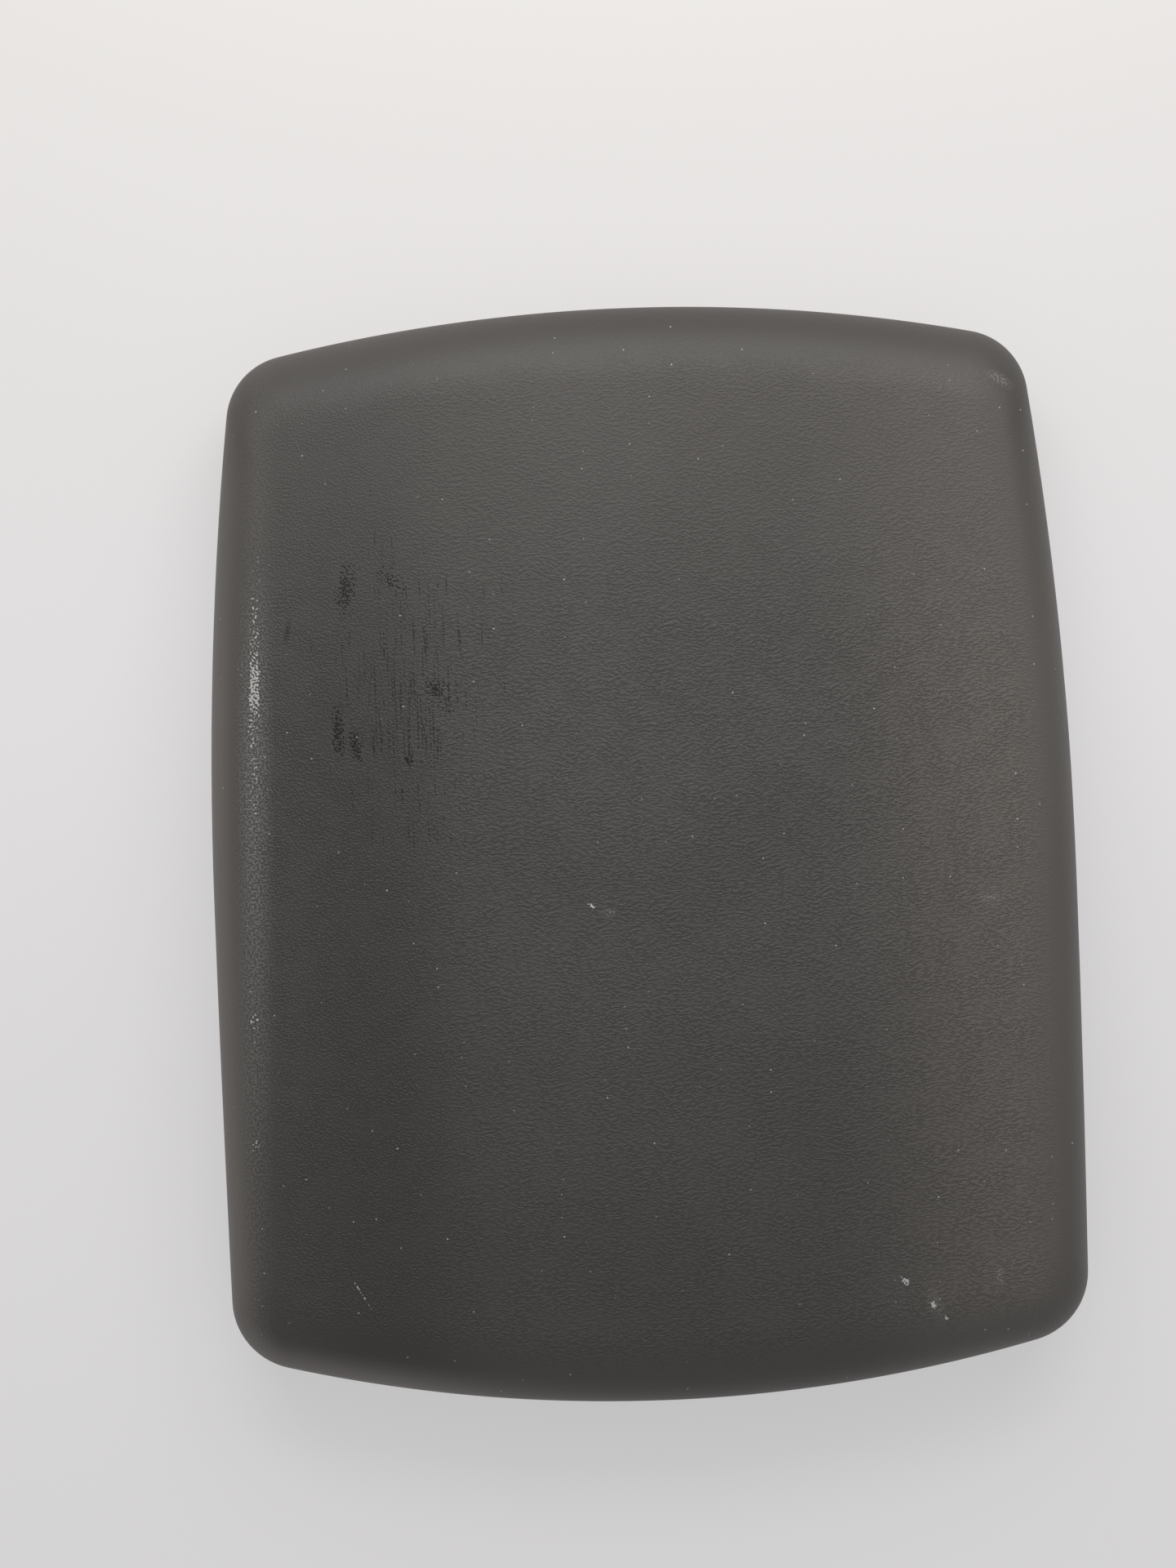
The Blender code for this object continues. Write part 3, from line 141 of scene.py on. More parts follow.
class Graph:
    """A shader or geometry node tree that is filled through plain calls."""

    COLUMN_WIDTH = 180
    ROW_HEIGHT = 220
    COLUMNS = 12

    def __init__(self, tree: bpy.types.NodeTree) -> None:
        """Start on a tree."""
        self.tree = tree

    def node(
        self,
        kind: str,
        settings: Mapping[str, Any] | None = None,
        sockets: Mapping[str | int, Any] | None = None,
    ) -> bpy.types.Node:
        """Add one node.

        Args:
            kind: Blender's name for the type of node.
            settings: Properties, which are set first; stops are a colour ramp's.
            sockets: Values, wires or outputs by the input's name or its place.

        Returns:
            The new node.
        """
        row, column = divmod(len(self.tree.nodes), self.COLUMNS)
        made = self.tree.nodes.new(kind)
        made.location = (self.COLUMN_WIDTH * column, -self.ROW_HEIGHT * row)
        for name, value in (settings or {}).items():
            if name == "stops":
                self.set_stops(made.color_ramp.elements, value)
            else:
                setattr(made, name, value)
        for name, value in (sockets or {}).items():
            self.feed(self.input(made, name), value)
        return made

    @staticmethod
    def set_stops(elements: bpy.types.ColorRampElements, stops: Sequence[Spot]) -> None:
        """Set a ramp's grey stops.

        Args:
            elements: The two stops that a new ramp has.
            stops: Place and value of each stop, from 0 to 1.
        """
        for place, value in stops[1:-1]:
            elements.new(place).color = (value, value, value, 1.0)
        for end in (0, -1):
            place, value = stops[end]
            elements[end].position = place
            elements[end].color = (value, value, value, 1.0)

    def input(self, node: bpy.types.Node, name: str | int) -> bpy.types.NodeSocket:
        """Find an input.

        Args:
            node: The node.
            name: The input's name, or its place in the node's list.

        Returns:
            The input, which is one in use where it is given by name.
        """
        if isinstance(name, int):
            return node.inputs[name]
        return next(s for s in node.inputs if s.enabled and s.name == name)

    def feed(self, socket: bpy.types.NodeSocket, value: Any) -> None:
        """Link an input, or give it a value.

        Args:
            socket: The input.
            value: A wire, a node's output or a plain value.
        """
        if isinstance(value, Wire):
            self.tree.links.new(value.socket, socket)
        elif isinstance(value, bpy.types.NodeSocket):
            self.tree.links.new(value, socket)
        else:
            socket.default_value = value

    def wire(
        self,
        kind: str,
        settings: Mapping[str, Any] | None = None,
        sockets: Mapping[str | int, Any] | None = None,
        output: str | None = None,
    ) -> Wire:
        """Add one node and go on from its output.

        Args:
            kind: Blender's name for the type of node.
            settings: Properties, which are set first.
            sockets: Values, wires or outputs by the input's name or its place.
            output: Name of the output, or nothing for the first one in use.

        Returns:
            The output.
        """
        made = self.node(kind, settings, sockets)
        outputs = [s for s in made.outputs if s.enabled and output in (None, s.name)]
        return Wire(self, outputs[0])

    def maths(self, operation: str, *values: "Wire | float") -> Wire:
        """A Math node on wires and numbers."""
        return self.wire("ShaderNodeMath", {"operation": operation}, dict(enumerate(values)))

    def vector(self, operation: str, *values: Any) -> Wire:
        """A Vector Math node on vectors."""
        return self.wire("ShaderNodeVectorMath", {"operation": operation}, dict(enumerate(values)))

    def parts(self, vector: Wire) -> list[Wire]:
        """The three parts of a vector."""
        made = self.node("ShaderNodeSeparateXYZ", None, {"Vector": vector})
        return [Wire(self, output) for output in made.outputs]

    def joined(self, **parts: "Wire | float") -> Wire:
        """A vector made of the parts X, Y and Z, of which those not given are 0."""
        return self.wire("ShaderNodeCombineXYZ", None, parts)

    def mix(self, share: "Wire | float", first: Any, second: Any) -> Wire:
        """A colour between two others."""
        sockets = {"Factor": share, "A": rgba(first), "B": rgba(second)}
        return self.wire("ShaderNodeMix", {"data_type": "RGBA"}, sockets)

    def noise(
        self, vector: Wire, size: float, detail: float = 2.0, flat: bool = False, **sockets: float
    ) -> Wire:
        """Noise from 0 to 1 with features of about one size.

        Args:
            vector: Where it is read.
            size: Size of a feature, in the same unit.
            detail: How many finer layers it has.
            flat: Whether it is read in plan only.
            **sockets: More of the node's inputs, such as Roughness.

        Returns:
            The noise.
        """
        inputs = {"Vector": vector, "Scale": 1 / size, "Detail": detail, **sockets}
        settings = {"noise_dimensions": "2D" if flat else "3D"}
        return self.wire("ShaderNodeTexNoise", settings, inputs)

    def cells(self, vector: Wire, size: float) -> Wire:
        """How far it is to the middle of the nearest cell, in cells of about one size."""
        return self.wire("ShaderNodeTexVoronoi", None, {"Vector": vector, "Scale": 1 / size}, "Distance")

    def ball(self, vector: Wire, centre: Any, half: Place, turn: float = 0.0) -> Wire:
        """A soft ball, 1 in its middle and 0 from its edge on.

        Args:
            vector: Where it is read.
            centre: Its middle.
            half: Half its length, width and height.
            turn: Its turn about the upright axis.

        Returns:
            The ball's strength.
        """
        sockets = {"Vector": vector, "Location": centre, "Rotation": (0, 0, turn), "Scale": half}
        centred = self.wire("ShaderNodeMapping", {"vector_type": "TEXTURE"}, sockets)
        settings = {"gradient_type": "SPHERICAL"}
        return self.wire("ShaderNodeTexGradient", settings, {"Vector": centred}, "Fac")


def rgba(value: Any) -> Any:
    """A colour with its fourth number, or the wire that gives one."""
    return (*value, 1.0) if isinstance(value, tuple) and len(value) == 3 else value


def scaled(colour: Colour, gain: float, lift: float = 0.0) -> Colour:
    """A colour times a number, and lifted by another."""
    return tuple(min(1.0, part * gain + lift) for part in colour)


@dataclass(frozen=True)
class Surface:
    """What a finish feeds to its shader: colour, roughness, metal and height in metres."""

    colour: Any
    roughness: Any
    metallic: float
    height: Wire


@dataclass(frozen=True)
class Finish:
    """A finish of the lid's pieces, whose shader is made once from its surface method."""

    name: str
    specular: float = 0.5

    def surface(self, graph: Graph, place: Wire) -> Surface:
        """What this finish feeds to its shader at a place in metres."""
        raise NotImplementedError

    def material(self) -> bpy.types.Material:
        """The material of this finish, made when it is first asked for.

        Returns:
            The material.
        """
        known = bpy.data.materials.get(f"{self.name}_look")
        if known:
            return known
        made = bpy.data.materials.new(f"{self.name}_look")
        made.use_nodes = True
        made.node_tree.nodes.clear()
        graph = Graph(made.node_tree)
        look = self.surface(graph, graph.wire("ShaderNodeTexCoord", None, None, "Object"))
        bump = {"Height": look.height, "Strength": 1.0, "Distance": 1.0}
        sockets = {
            "Base Color": rgba(look.colour),
            "Roughness": look.roughness,
            "Metallic": look.metallic,
            "Specular IOR Level": self.specular,
            "Normal": graph.wire("ShaderNodeBump", None, bump),
        }
        shader = graph.wire("ShaderNodeBsdfPrincipled", None, sockets)
        graph.node("ShaderNodeOutputMaterial", None, {"Surface": shader})
        return made


# The photograph's view


@dataclass(frozen=True)
class PhotoView:
    """Where the photograph was taken from, and which place of the top a pixel shows."""

    width: int = 1440
    height: int = 1920
    sensor: float = 36.0
    lens: float = 42.0
    turn: float = math.radians(-2.18)
    centre: Spot = (788.25, 1045.6)
    pixel: float = 0.2525 * MM
    outline_z: float = 23 * MM
    top_z: float = 45 * MM
    nearest: float = 0.01

    @property
    def focal(self) -> float:
        """Focal length in pixels."""
        return self.lens / self.sensor * self.height

    @property
    def camera_z(self) -> float:
        """Height of the camera, from the size of a pixel at the outline's height."""
        return self.outline_z + self.focal * self.pixel

    @property
    def axes(self) -> tuple[Vector, Vector]:
        """The picture's right and up, in the lid's frame."""
        cos, sin = math.cos(self.turn), math.sin(self.turn)
        return Vector((cos, sin, 0)), Vector((-sin, cos, 0))

    @property
    def camera_place(self) -> Vector:
        """Where the camera stands so that the lid's middle falls on its pixel.

        Returns:
            The camera's place.
        """
        right, up = self.axes
        across = (self.centre[0] - self.width / 2) * self.pixel
        down = (self.centre[1] - self.height / 2) * self.pixel
        return Vector((0, 0, self.camera_z)) - right * across + up * down

    def length(self, pixels: float) -> float:
        """A length of the photograph, in metres on the padded top."""
        return pixels * (self.camera_z - self.top_z) / self.focal

    def spot(self, pixel: Spot) -> Place:
        """Find what a pixel shows.

        Args:
            pixel: The pixel, from the photograph's upper left corner.

        Returns:
            Its place on the padded top, in plan.
        """
        right, up = self.axes
        across = self.length(pixel[0] - self.width / 2)
        down = self.length(pixel[1] - self.height / 2)
        place = self.camera_place + right * across - up * down
        return (place.x, place.y, 0.0)

    def add_camera(self) -> None:
        """Put the camera there and make it the scene's."""
        data = bpy.data.cameras.new("photo_view")
        data.sensor_width = self.sensor
        data.lens = self.lens
        data.clip_start = self.nearest
        camera = bpy.data.objects.new("photo_view", data)
        camera.location = self.camera_place
        camera.rotation_euler = (0, 0, self.turn)
        bpy.context.scene.collection.objects.link(camera)
        bpy.context.scene.camera = camera


PHOTO = PhotoView()


# The skin's wear, by pixels of the photograph


class Mark(Enum):
    """Kinds of wear on the skin."""

    SCUFF = "scuff"
    SMEAR = "smear"
    SMUDGE = "smudge"
    # A dent, drawn only as painted shade in the colour.
    DENT = "dent"
    CHIP = "chip"


@dataclass(frozen=True)
class Wear:
    """One worn or dirty stroke on the skin, between two pixels of the photograph."""

    mark: Mark
    start: Spot
    end: Spot
    width: float
    strength: float
    softness: float = 1.6

    def amount(self, graph: Graph, flat: Wire) -> Wire:
        """How much of the stroke there is at a place.

        Args:
            graph: The finish's tree.
            flat: The place in plan.

        Returns:
            The stroke's strength near its line, fading to 0 around it.
        """
        start, end = Vector(PHOTO.spot(self.start)), Vector(PHOTO.spot(self.end))
        along, reach = end - start, self.softness * PHOTO.length(self.width) / 2
        half = (along.length / 2 + reach, reach, 1.0)
        turn = math.atan2(along.y, along.x)
        return graph.ball(flat, (start + end) / 2, half, turn) * (self.softness * self.strength)


WEAR = (
    Wear(Mark.SCUFF, (319, 674), (338, 713), 4, 0.55),
    Wear(Mark.SCUFF, (290, 776), (293, 862), 6, 0.5),
    Wear(Mark.SMEAR, (741, 1117), (752, 1117), 8, 0.7),
    Wear(Mark.SMEAR, (1205, 1100), (1226, 1100), 10, 0.6),
    Wear(Mark.SMEAR, (1222, 448), (1246, 462), 12, 0.8),
    Wear(Mark.SMEAR, (1144, 1586), (1155, 1617), 14, 0.5),
    Wear(Mark.SMEAR, (1230, 1560), (1231, 1579), 7, 0.9),
    Wear(Mark.SMUDGE, (425, 672), (417, 768), 32, 0.72),
    Wear(Mark.SMUDGE, (455, 688), (498, 730), 44, 0.56),
    Wear(Mark.SMUDGE, (526, 836), (538, 852), 24, 0.78),
    Wear(Mark.SMUDGE, (411, 850), (414, 942), 18, 0.85),
    Wear(Mark.SMUDGE, (428, 884), (441, 945), 18, 0.80),
    Wear(Mark.SMUDGE, (498, 926), (502, 934), 12, 1.0),
    Wear(Mark.SMUDGE, (528, 800), (556, 910), 60, 0.46),
    Wear(Mark.DENT, (352, 758), (347, 786), 6, 1.0),
    Wear(Mark.CHIP, (1108, 1571), (1116, 1578), 7, 0.8),
    Wear(Mark.CHIP, (1146, 1600), (1150, 1611), 6, 0.85),
    Wear(Mark.CHIP, (1163, 1620), (1166, 1626), 5, 0.8),
    Wear(Mark.CHIP, (720, 1106), (730, 1113), 3.5, 0.8),
    Wear(Mark.CHIP, (407, 1540), (467, 1633), 2.2, 0.5),
)


@dataclass(frozen=True)
class Breakup:
    """How a stroke breaks up into dots: its weight beside the grain, and the step over both."""

    weight: float
    step: Span

    def dots(self, stroke: Wire, grain: Wire) -> Wire:
        """The dots of a stroke where the grain is high."""
        return (stroke * self.weight + grain).rise(*self.step)


@dataclass(frozen=True)
class Shoulder:
    """The rubbed line along the skin's left shoulder, by rows of the photograph."""

    x: float = 308.0
    half_width: float = 12.0
    core: float = 0.25
    haze_half_width: float = 30.0
    breakup: Breakup = Breakup(0.45, (0.93, 1.01))
    clump: Span = (0.35, 0.60)
    clumped: Span = (0.9, 0.2)
    most: float = 1.05
    stops: tuple[Spot, ...] = (
        (600, 0.0), (680, 0.35), (770, 0.70), (815, 1.0), (862, 1.05), (890, 0.70), (1000, 0.50),
        (1120, 0.25), (1225, 0.15), (1252, 0.75), (1275, 0.2), (1390, 0.15), (1407, 0.7),
        (1425, 0.15), (1560, 0.3), (1610, 0.65), (1660, 0.1),
    )
    haze_stops: tuple[Spot, ...] = (
        (430, 0.1), (700, 0.25), (840, 0.8), (950, 1.0), (1150, 0.7), (1400, 0.45), (1700, 0.2),
    )


@dataclass(frozen=True)
class Scratches:
    """Thin dotted scratches along the skin's length, within a patch of the photograph."""

    centre: Spot = (500.0, 850.0)
    half_size: Spot = (170.0, 330.0)
    width: float = 0.50 * MM
    length: float = 15 * MM
    patch_weight: float = 0.4
    step: Span = (0.97, 1.02)
    valley: Span = (0.60, 0.50)


@dataclass(frozen=True)
class Specks:
    """Small white specks, one in some of the cells of a grid that covers the top."""

    spacing: float = 7 * MM
    radius: Span = (0.042, 0.018)
    share: Span = (0.80, 0.92)
    edge: Span = (2 * MM, 6 * MM)


# Finishes


@dataclass(frozen=True)
class Grain:
    """The skin's moulded grain: ripples across its length and fine pebbles."""

    ripple_length: float = 1.7 * MM
    ripple_width: float = 0.75 * MM
    ripple_height: float = 0.15 * MM
    ripple_roughness: float = 0.6
    sway: float = 2.4 * MM
    fine_size: float = 0.65 * MM
    fine_share: Span = (0.25, 0.45)
    finer_x: Span = (-45 * MM, -85 * MM)
    pebble_size: float = 0.50 * MM
    pebble_height: float = 0.030 * MM
    wall_pebbles: float = 2.0
    patch_size: float = 9 * MM
    patch: Span = (0.36, 0.60)
    patch_share: float = 0.25
    valley: Span = (0.40, 0.62)
    calm_y: Span = (40 * MM, 125 * MM)
    calm_share: float = 0.55
    crest: Span = (7 * MM, 24 * MM)
    mottle: Span = (0.6, 0.4)


@dataclass(frozen=True)
class MottleAndPaintedLight:
    """Random mottle of the skin's tone, and painted light and shade, by places in the lid's frame."""

    broad_size: float = 50 * MM
    broad: Span = (0.30, 0.62)
    clean: Span = (0.55, 0.30)
    # Painted shade: darker to the left and towards the rear end.
    left_x: Span = (-30 * MM, -75 * MM)
    left_share: float = 0.6
    rear_y: Span = (-150 * MM, -50 * MM)
    rear_share: Span = (0.45, 0.55)
    # Painted shade: a darker band along the left side.
    painted_shade_band_x: float = -84 * MM
    painted_shade_band_reach: Span = (32 * MM, 4 * MM)
    painted_shade_band_share: float = 0.42
    # Painted light: lighter to the right, and a painted sheen on the left rolled edge.
    painted_light_x: Span = (45 * MM, 118 * MM)
    painted_light_share: Span = (0.45, 0.55)
    left_roll: Span = (14 * MM, 4 * MM)
    left_roll_x: Span = (0.0, -100 * MM)
    left_roll_share: float = 1.1
    # Painted shade against the lamp's stronger light: darker at the front end and on its rolled edge.
    front_y: Span = (20 * MM, 140 * MM)
    front_share: float = 0.55
    front_roll: Span = (26 * MM, 6 * MM)
    front_roll_y: Span = (110 * MM, 150 * MM)
    front_roll_share: float = 0.6
    front_roll_gain: float = 0.7
    # Painted shade in the grain's valleys.
    valley_share: float = 0.35
    valley_gain: float = 0.45


class SkinMap:
    """What the skin's pattern reads at a place: its plan, its edge and its grain."""

    def __init__(self, graph: Graph, place: Wire, grain: Grain) -> None:
        """Work out the wires once, for all that reads them.

        Args:
            graph: The finish's tree.
            place: The place in metres.
            grain: The grain's sizes.
        """
        self.graph = graph
        self.inward = graph.wire("ShaderNodeAttribute", {"attribute_name": "inward"}, None, "Fac")
        self.x, self.y, _ = graph.parts(place)
        self.flat = graph.joined(X=self.x, Y=self.y)
        self.on_top = self.inward.rise(*grain.crest)
        self.patches = graph.noise(self.flat, grain.patch_size, 0.0, flat=True)
        sway = (self.patches - 0.5) * grain.sway
        way = graph.joined(
            X=(self.x + sway) * (1 / grain.ripple_length),
            Y=(self.y + sway) * (1 / grain.ripple_width),
        )
        self.ripple = graph.noise(way, 1.0, 1.0, flat=True, Roughness=grain.ripple_roughness)
        self.fine = graph.noise(self.flat, grain.fine_size, 0.0, flat=True)
        self.pebbles = graph.noise(place, grain.pebble_size, 0.0)
        self.mottle = self.fine * grain.mottle[0] + self.ripple * grain.mottle[1]
        least, more = grain.fine_share
        fine_share = least + more * self.x.rise(*grain.finer_x)
        relief = self.ripple * (1 - fine_share) + self.fine * fine_share
        self.lines = relief.rise(*grain.valley)
        calm = 1 - grain.calm_share * self.y.rise(*grain.calm_y)
        patchy = (1 - grain.patch_share) + grain.patch_share * self.patches.rise(*grain.patch)
        self.boldness = patchy * self.on_top * calm

    def worn(self, mark: Mark) -> Wire:
        """The strongest stroke of one kind of wear at a place.

        Args:
            mark: The kind of wear.

        Returns:
            The stroke's strength.
        """
        first, *others = [wear.amount(self.graph, self.flat) for wear in WEAR if wear.mark is mark]
        for other in others:
            first = first.at_least(other)
        return first

    def along(self, x: float, stops: Sequence[Spot]) -> Wire:
        """A strength that changes along the lid's length.

        Args:
            x: Column of the photograph on which the rows are read.
            stops: Rows of the photograph, and the strength at each.

        Returns:
            The strength.
        """
        first, last = stops[0][0], stops[-1][0]
        top, bottom = PHOTO.spot((x, first))[1], PHOTO.spot((x, last))[1]
        shares = [((row - first) / (last - first), value) for row, value in stops]
        share = (self.y - top) / (bottom - top)
        return self.graph.wire("ShaderNodeValToRGB", {"stops": shares}, {0: share}, "Color")


@dataclass(frozen=True)
class GrainedSkin(Finish):
    """Moulded vehicle skin with a fine rippled grain, satin, worn and a little dirty, with painted light
    and shade in its colour.
    """

    colour: Colour = (0.0770, 0.0730, 0.0685)
    shade: Colour = (0.0560, 0.0510, 0.0472)
    # Colour of the painted light on the right and of the painted sheen on the left rolled edge.
    painted_light: Colour = (0.1240, 0.1130, 0.1030)
    # Colour of the painted shade band along the left side.
    painted_shade_band: Colour = (0.0340, 0.0330, 0.0320)
    chalk: Colour = (0.52, 0.51, 0.50)
    # Near black of the smudges and scratches, and of the painted shade in the dent.
    soot_and_dent_shade: Colour = (0.004, 0.004, 0.004)
    roughness: float = 0.52
    pebble_gloss: float = 0.12
    scuff_gloss: float = 0.2
    haze_gloss: float = 0.12
    haze_share: Span = (0.03, 0.20)
    haze_grain: Span = (0.40, 0.62)
    smear_share: float = 0.20
    smear_grain: Span = (0.38, 0.66)
    scratch_share: float = 0.85
    # Share of the painted shade in the dent.
    dent_share: float = 0.45
    most_soot: float = 0.96
    scuff_share: float = 0.8
    chip_share: float = 0.9
    most_chalk: float = 0.95
    most_chip: float = 1.2
    smudge_dots: Breakup = Breakup(0.56, (0.97, 1.005))
    chip_dots: Breakup = Breakup(0.55, (0.86, 0.98))
    grain: Grain = Grain()
    mottle_and_painted_light: MottleAndPaintedLight = MottleAndPaintedLight()
    shoulder: Shoulder = Shoulder()
    scratches: Scratches = Scratches()
    specks: Specks = Specks()

    def rubbed(self, skin: SkinMap) -> tuple[Wire, Wire]:
        """The rubbed line on the left shoulder.

        Args:
            skin: What the pattern reads.

        Returns:
            The line's strength, and that of the pale haze around it.
        """
        shoulder = self.shoulder
        rows = (shoulder.stops[0][0], shoulder.stops[-1][0])
        top, bottom = (Vector(PHOTO.spot((shoulder.x, row))) for row in rows)
        lean = (bottom.x - top.x) / (bottom.y - top.y)
        across = abs(skin.x - top.x - (skin.y - top.y) * lean)
        near, far = PHOTO.length(shoulder.half_width), PHOTO.length(shoulder.haze_half_width)
        line = across.rise(near, shoulder.core * near) * skin.along(shoulder.x, shoulder.stops)
        haze = across.rise(far, 0.0) * skin.along(shoulder.x, shoulder.haze_stops)
        return line, haze

    def scuffed(self, skin: SkinMap, line: Wire) -> Wire:
        """The chalky dots of the rubbed line and of the scuffs beside it.

        Args:
            skin: What the pattern reads.
            line: The rubbed line's strength.

        Returns:
            The dots.
        """
        shoulder = self.shoulder
        least, more = shoulder.clumped
        clumps = least + more * skin.patches.rise(*shoulder.clump)
        stroke = line.at_least(skin.worn(Mark.SCUFF)).at_most(shoulder.most)
        return shoulder.breakup.dots(stroke * clumps, skin.mottle)

    def scratched(self, skin: SkinMap) -> Wire:
        """Thin dotted scratches along the length, where they lie.

        Args:
            skin: What the pattern reads.

        Returns:
            The scratches' strength.
        """
        patch, graph = self.scratches, skin.graph
        half = (PHOTO.length(patch.half_size[0]), PHOTO.length(patch.half_size[1]), 1.0)
        within = graph.ball(skin.flat, PHOTO.spot(patch.centre), half)
        stretched = graph.vector("MULTIPLY", skin.flat, (1 / patch.width, 1 / patch.length, 1.0))
        lines = graph.noise(stretched, 1.0, 0.0, flat=True)
        marks = (lines + within * patch.patch_weight).rise(*patch.step)
        return marks * skin.mottle.rise(*patch.valley)

    def speckled(self, skin: SkinMap) -> Wire:
        """Small white specks of unlike strength, scattered over the top.

        Args:
            skin: What the pattern reads.

        Returns:
            The specks' strength.
        """
        specks, graph = self.specks, skin.graph
        sockets = {"Vector": skin.flat, "Scale": 1 / specks.spacing}
        crumbs = graph.node("ShaderNodeTexVoronoi", {"voronoi_dimensions": "2D"}, sockets)
        lot = graph.node("ShaderNodeSeparateColor", None, {"Color": crumbs.outputs["Color"]})
        round_spots = Wire(graph, crumbs.outputs["Distance"]).rise(*specks.radius)
        some = Wire(graph, lot.outputs["Red"]).rise(*specks.share)
        return round_spots * some * skin.inward.rise(*specks.edge) * lot.outputs["Green"]

    def tone_with_painted_light(self, skin: SkinMap) -> Wire:
        """The skin's colour with its random mottle and its painted light and shade, but without its
        marks.

        Args:
            skin: What the pattern reads.

        Returns:
            The colour.
        """
        mottle_and_painted_light, graph, x, y = self.mottle_and_painted_light, skin.graph, skin.x, skin.y
        broad = graph.noise(skin.flat, mottle_and_painted_light.broad_size, 0.0, flat=True).rise(*mottle_and_painted_light.broad)
        # Random mottle, with painted shade darker to the left and towards the rear end.
        clean = (mottle_and_painted_light.clean[0] + mottle_and_painted_light.clean[1] * broad) * (1 - mottle_and_painted_light.left_share * x.rise(*mottle_and_painted_light.left_x))
        clean = clean * (mottle_and_painted_light.rear_share[0] + mottle_and_painted_light.rear_share[1] * y.rise(*mottle_and_painted_light.rear_y))
        tone = graph.mix(clean, self.shade, self.colour)
        # Painted shade: a darker band along the left side.
        shade_band = abs(x - mottle_and_painted_light.painted_shade_band_x).rise(*mottle_and_painted_light.painted_shade_band_reach)
        tone = graph.mix(shade_band * mottle_and_painted_light.painted_shade_band_share, tone, self.painted_shade_band)
        # Painted light on the right, and painted sheen on the left rolled edge.
        dust = x.rise(*mottle_and_painted_light.painted_light_x) * (mottle_and_painted_light.painted_light_share[0] + mottle_and_painted_light.painted_light_share[1] * skin.on_top)
        roll = skin.inward.rise(*mottle_and_painted_light.left_roll) * x.rise(*mottle_and_painted_light.left_roll_x)
        tone = graph.mix(dust.at_least(roll * mottle_and_painted_light.left_roll_share), tone, self.painted_light)
        # Painted shade against the lamp's stronger light, towards the front end and most on its rolled
        # edge.
        tone = graph.mix(y.rise(*mottle_and_painted_light.front_y) * mottle_and_painted_light.front_share, tone, self.shade)
        front = skin.inward.rise(*mottle_and_painted_light.front_roll) * y.rise(*mottle_and_painted_light.front_roll_y)
        deep = scaled(self.shade, mottle_and_painted_light.front_roll_gain)
        tone = graph.mix(front * mottle_and_painted_light.front_roll_share, tone, deep)
        # Painted shade in the grain's valleys.
        valleys = (1 - skin.lines) * skin.boldness * mottle_and_painted_light.valley_share
        return graph.mix(valleys, tone, scaled(self.shade, mottle_and_painted_light.valley_gain))

    def surface(self, graph: Graph, place: Wire) -> Surface:
        """Colour, gloss and height of the skin.

        Args:
            graph: The finish's tree.
            place: The place in metres.

        Returns:
            What goes to the shader.
        """
        grain = self.grain
        skin = SkinMap(graph, place, grain)
        line, haze = self.rubbed(skin)
        scuff = self.scuffed(skin, line)
        smear = skin.worn(Mark.SMEAR) * skin.fine.rise(*self.smear_grain) * self.smear_share
        smudge = self.smudge_dots.dots(skin.worn(Mark.SMUDGE).at_most(1.0), 1 - skin.mottle)
        chip = self.chip_dots.dots(skin.worn(Mark.CHIP).at_most(self.most_chip), skin.mottle)
        scratch, dent = self.scratched(skin), skin.worn(Mark.DENT)

        least, more = self.haze_share
        pale = haze * (least + more * skin.fine.rise(*self.haze_grain)) + smear
        # The dent's part is painted shade; the smudges and scratches are real marks.
        dark = smudge + scratch * self.scratch_share + dent * self.dent_share
        white = scuff * self.scuff_share + chip * self.chip_share + self.speckled(skin)
        tone = graph.mix(pale, self.tone_with_painted_light(skin), self.chalk)
        tone = graph.mix(dark.at_most(self.most_soot), tone, self.soot_and_dent_shade)
        tone = graph.mix(white.at_most(self.most_chalk), tone, self.chalk)

        rough = self.roughness + (skin.pebbles - 0.5) * self.pebble_gloss
        rough = rough + scuff * self.scuff_gloss + haze * self.haze_gloss
        height = skin.lines * skin.boldness * grain.ripple_height
        height = height + skin.pebbles * (grain.wall_pebbles - skin.on_top) * grain.pebble_height
        return Surface(tone, rough, 0.0, height)


@dataclass(frozen=True)
class MouldedPlastic(Finish):
    """Moulded plastic with a fine spark eroded texture and faint rubbed patches."""

    colour: Colour = (0.06, 0.058, 0.056)
    roughness: float = 0.6
    grain: float = 0.45 * MM
    depth: float = 0.018 * MM
    fine_spread: float = 2.5
    fine_share: float = 0.6
    fine: Span = (0.6, 0.8)
    dust: float = 0.08
    flow_size: float = 60 * MM
    flow: Span = (0.3, 0.7)
    flow_gloss: float = 0.16
    rub_size: float = 18 * MM
    rub: Span = (0.55, 0.8)
    rub_share: float = 0.32
    polish: Span = (0.55, 0.75)
    polish_gloss: float = 0.08
    light_gain: float = 1.35
    light_lift: float = 0.012
    dark_gain: float = 0.82

    def surface(self, graph: Graph, place: Wire) -> Surface:
        """Colour, gloss and height of the plastic.

        Args:
            graph: The finish's tree.
            place: The place in metres.

        Returns:
            What goes to the shader.
        """
        cells = graph.cells(place, self.grain)
        fine = graph.noise(place, self.grain * self.fine_spread, 3.0)
        flow = graph.noise(place, self.flow_size, 3.0, Roughness=0.6)
        rub = graph.noise(place, self.rub_size, 4.0, Roughness=0.65)
        tone = graph.mix(flow.rise(*self.flow), scaled(self.colour, self.dark_gain), self.colour)
        pale = rub.rise(*self.rub) * self.rub_share + fine.rise(*self.fine) * self.dust
        tone = graph.mix(pale, tone, scaled(self.colour, self.light_gain, self.light_lift))
        rough = self.roughness + (flow - 0.5) * self.flow_gloss
        rough = rough - rub.rise(*self.polish) * self.polish_gloss
        return Surface(tone, rough, 0.0, (fine * self.fine_share - cells) * self.depth)


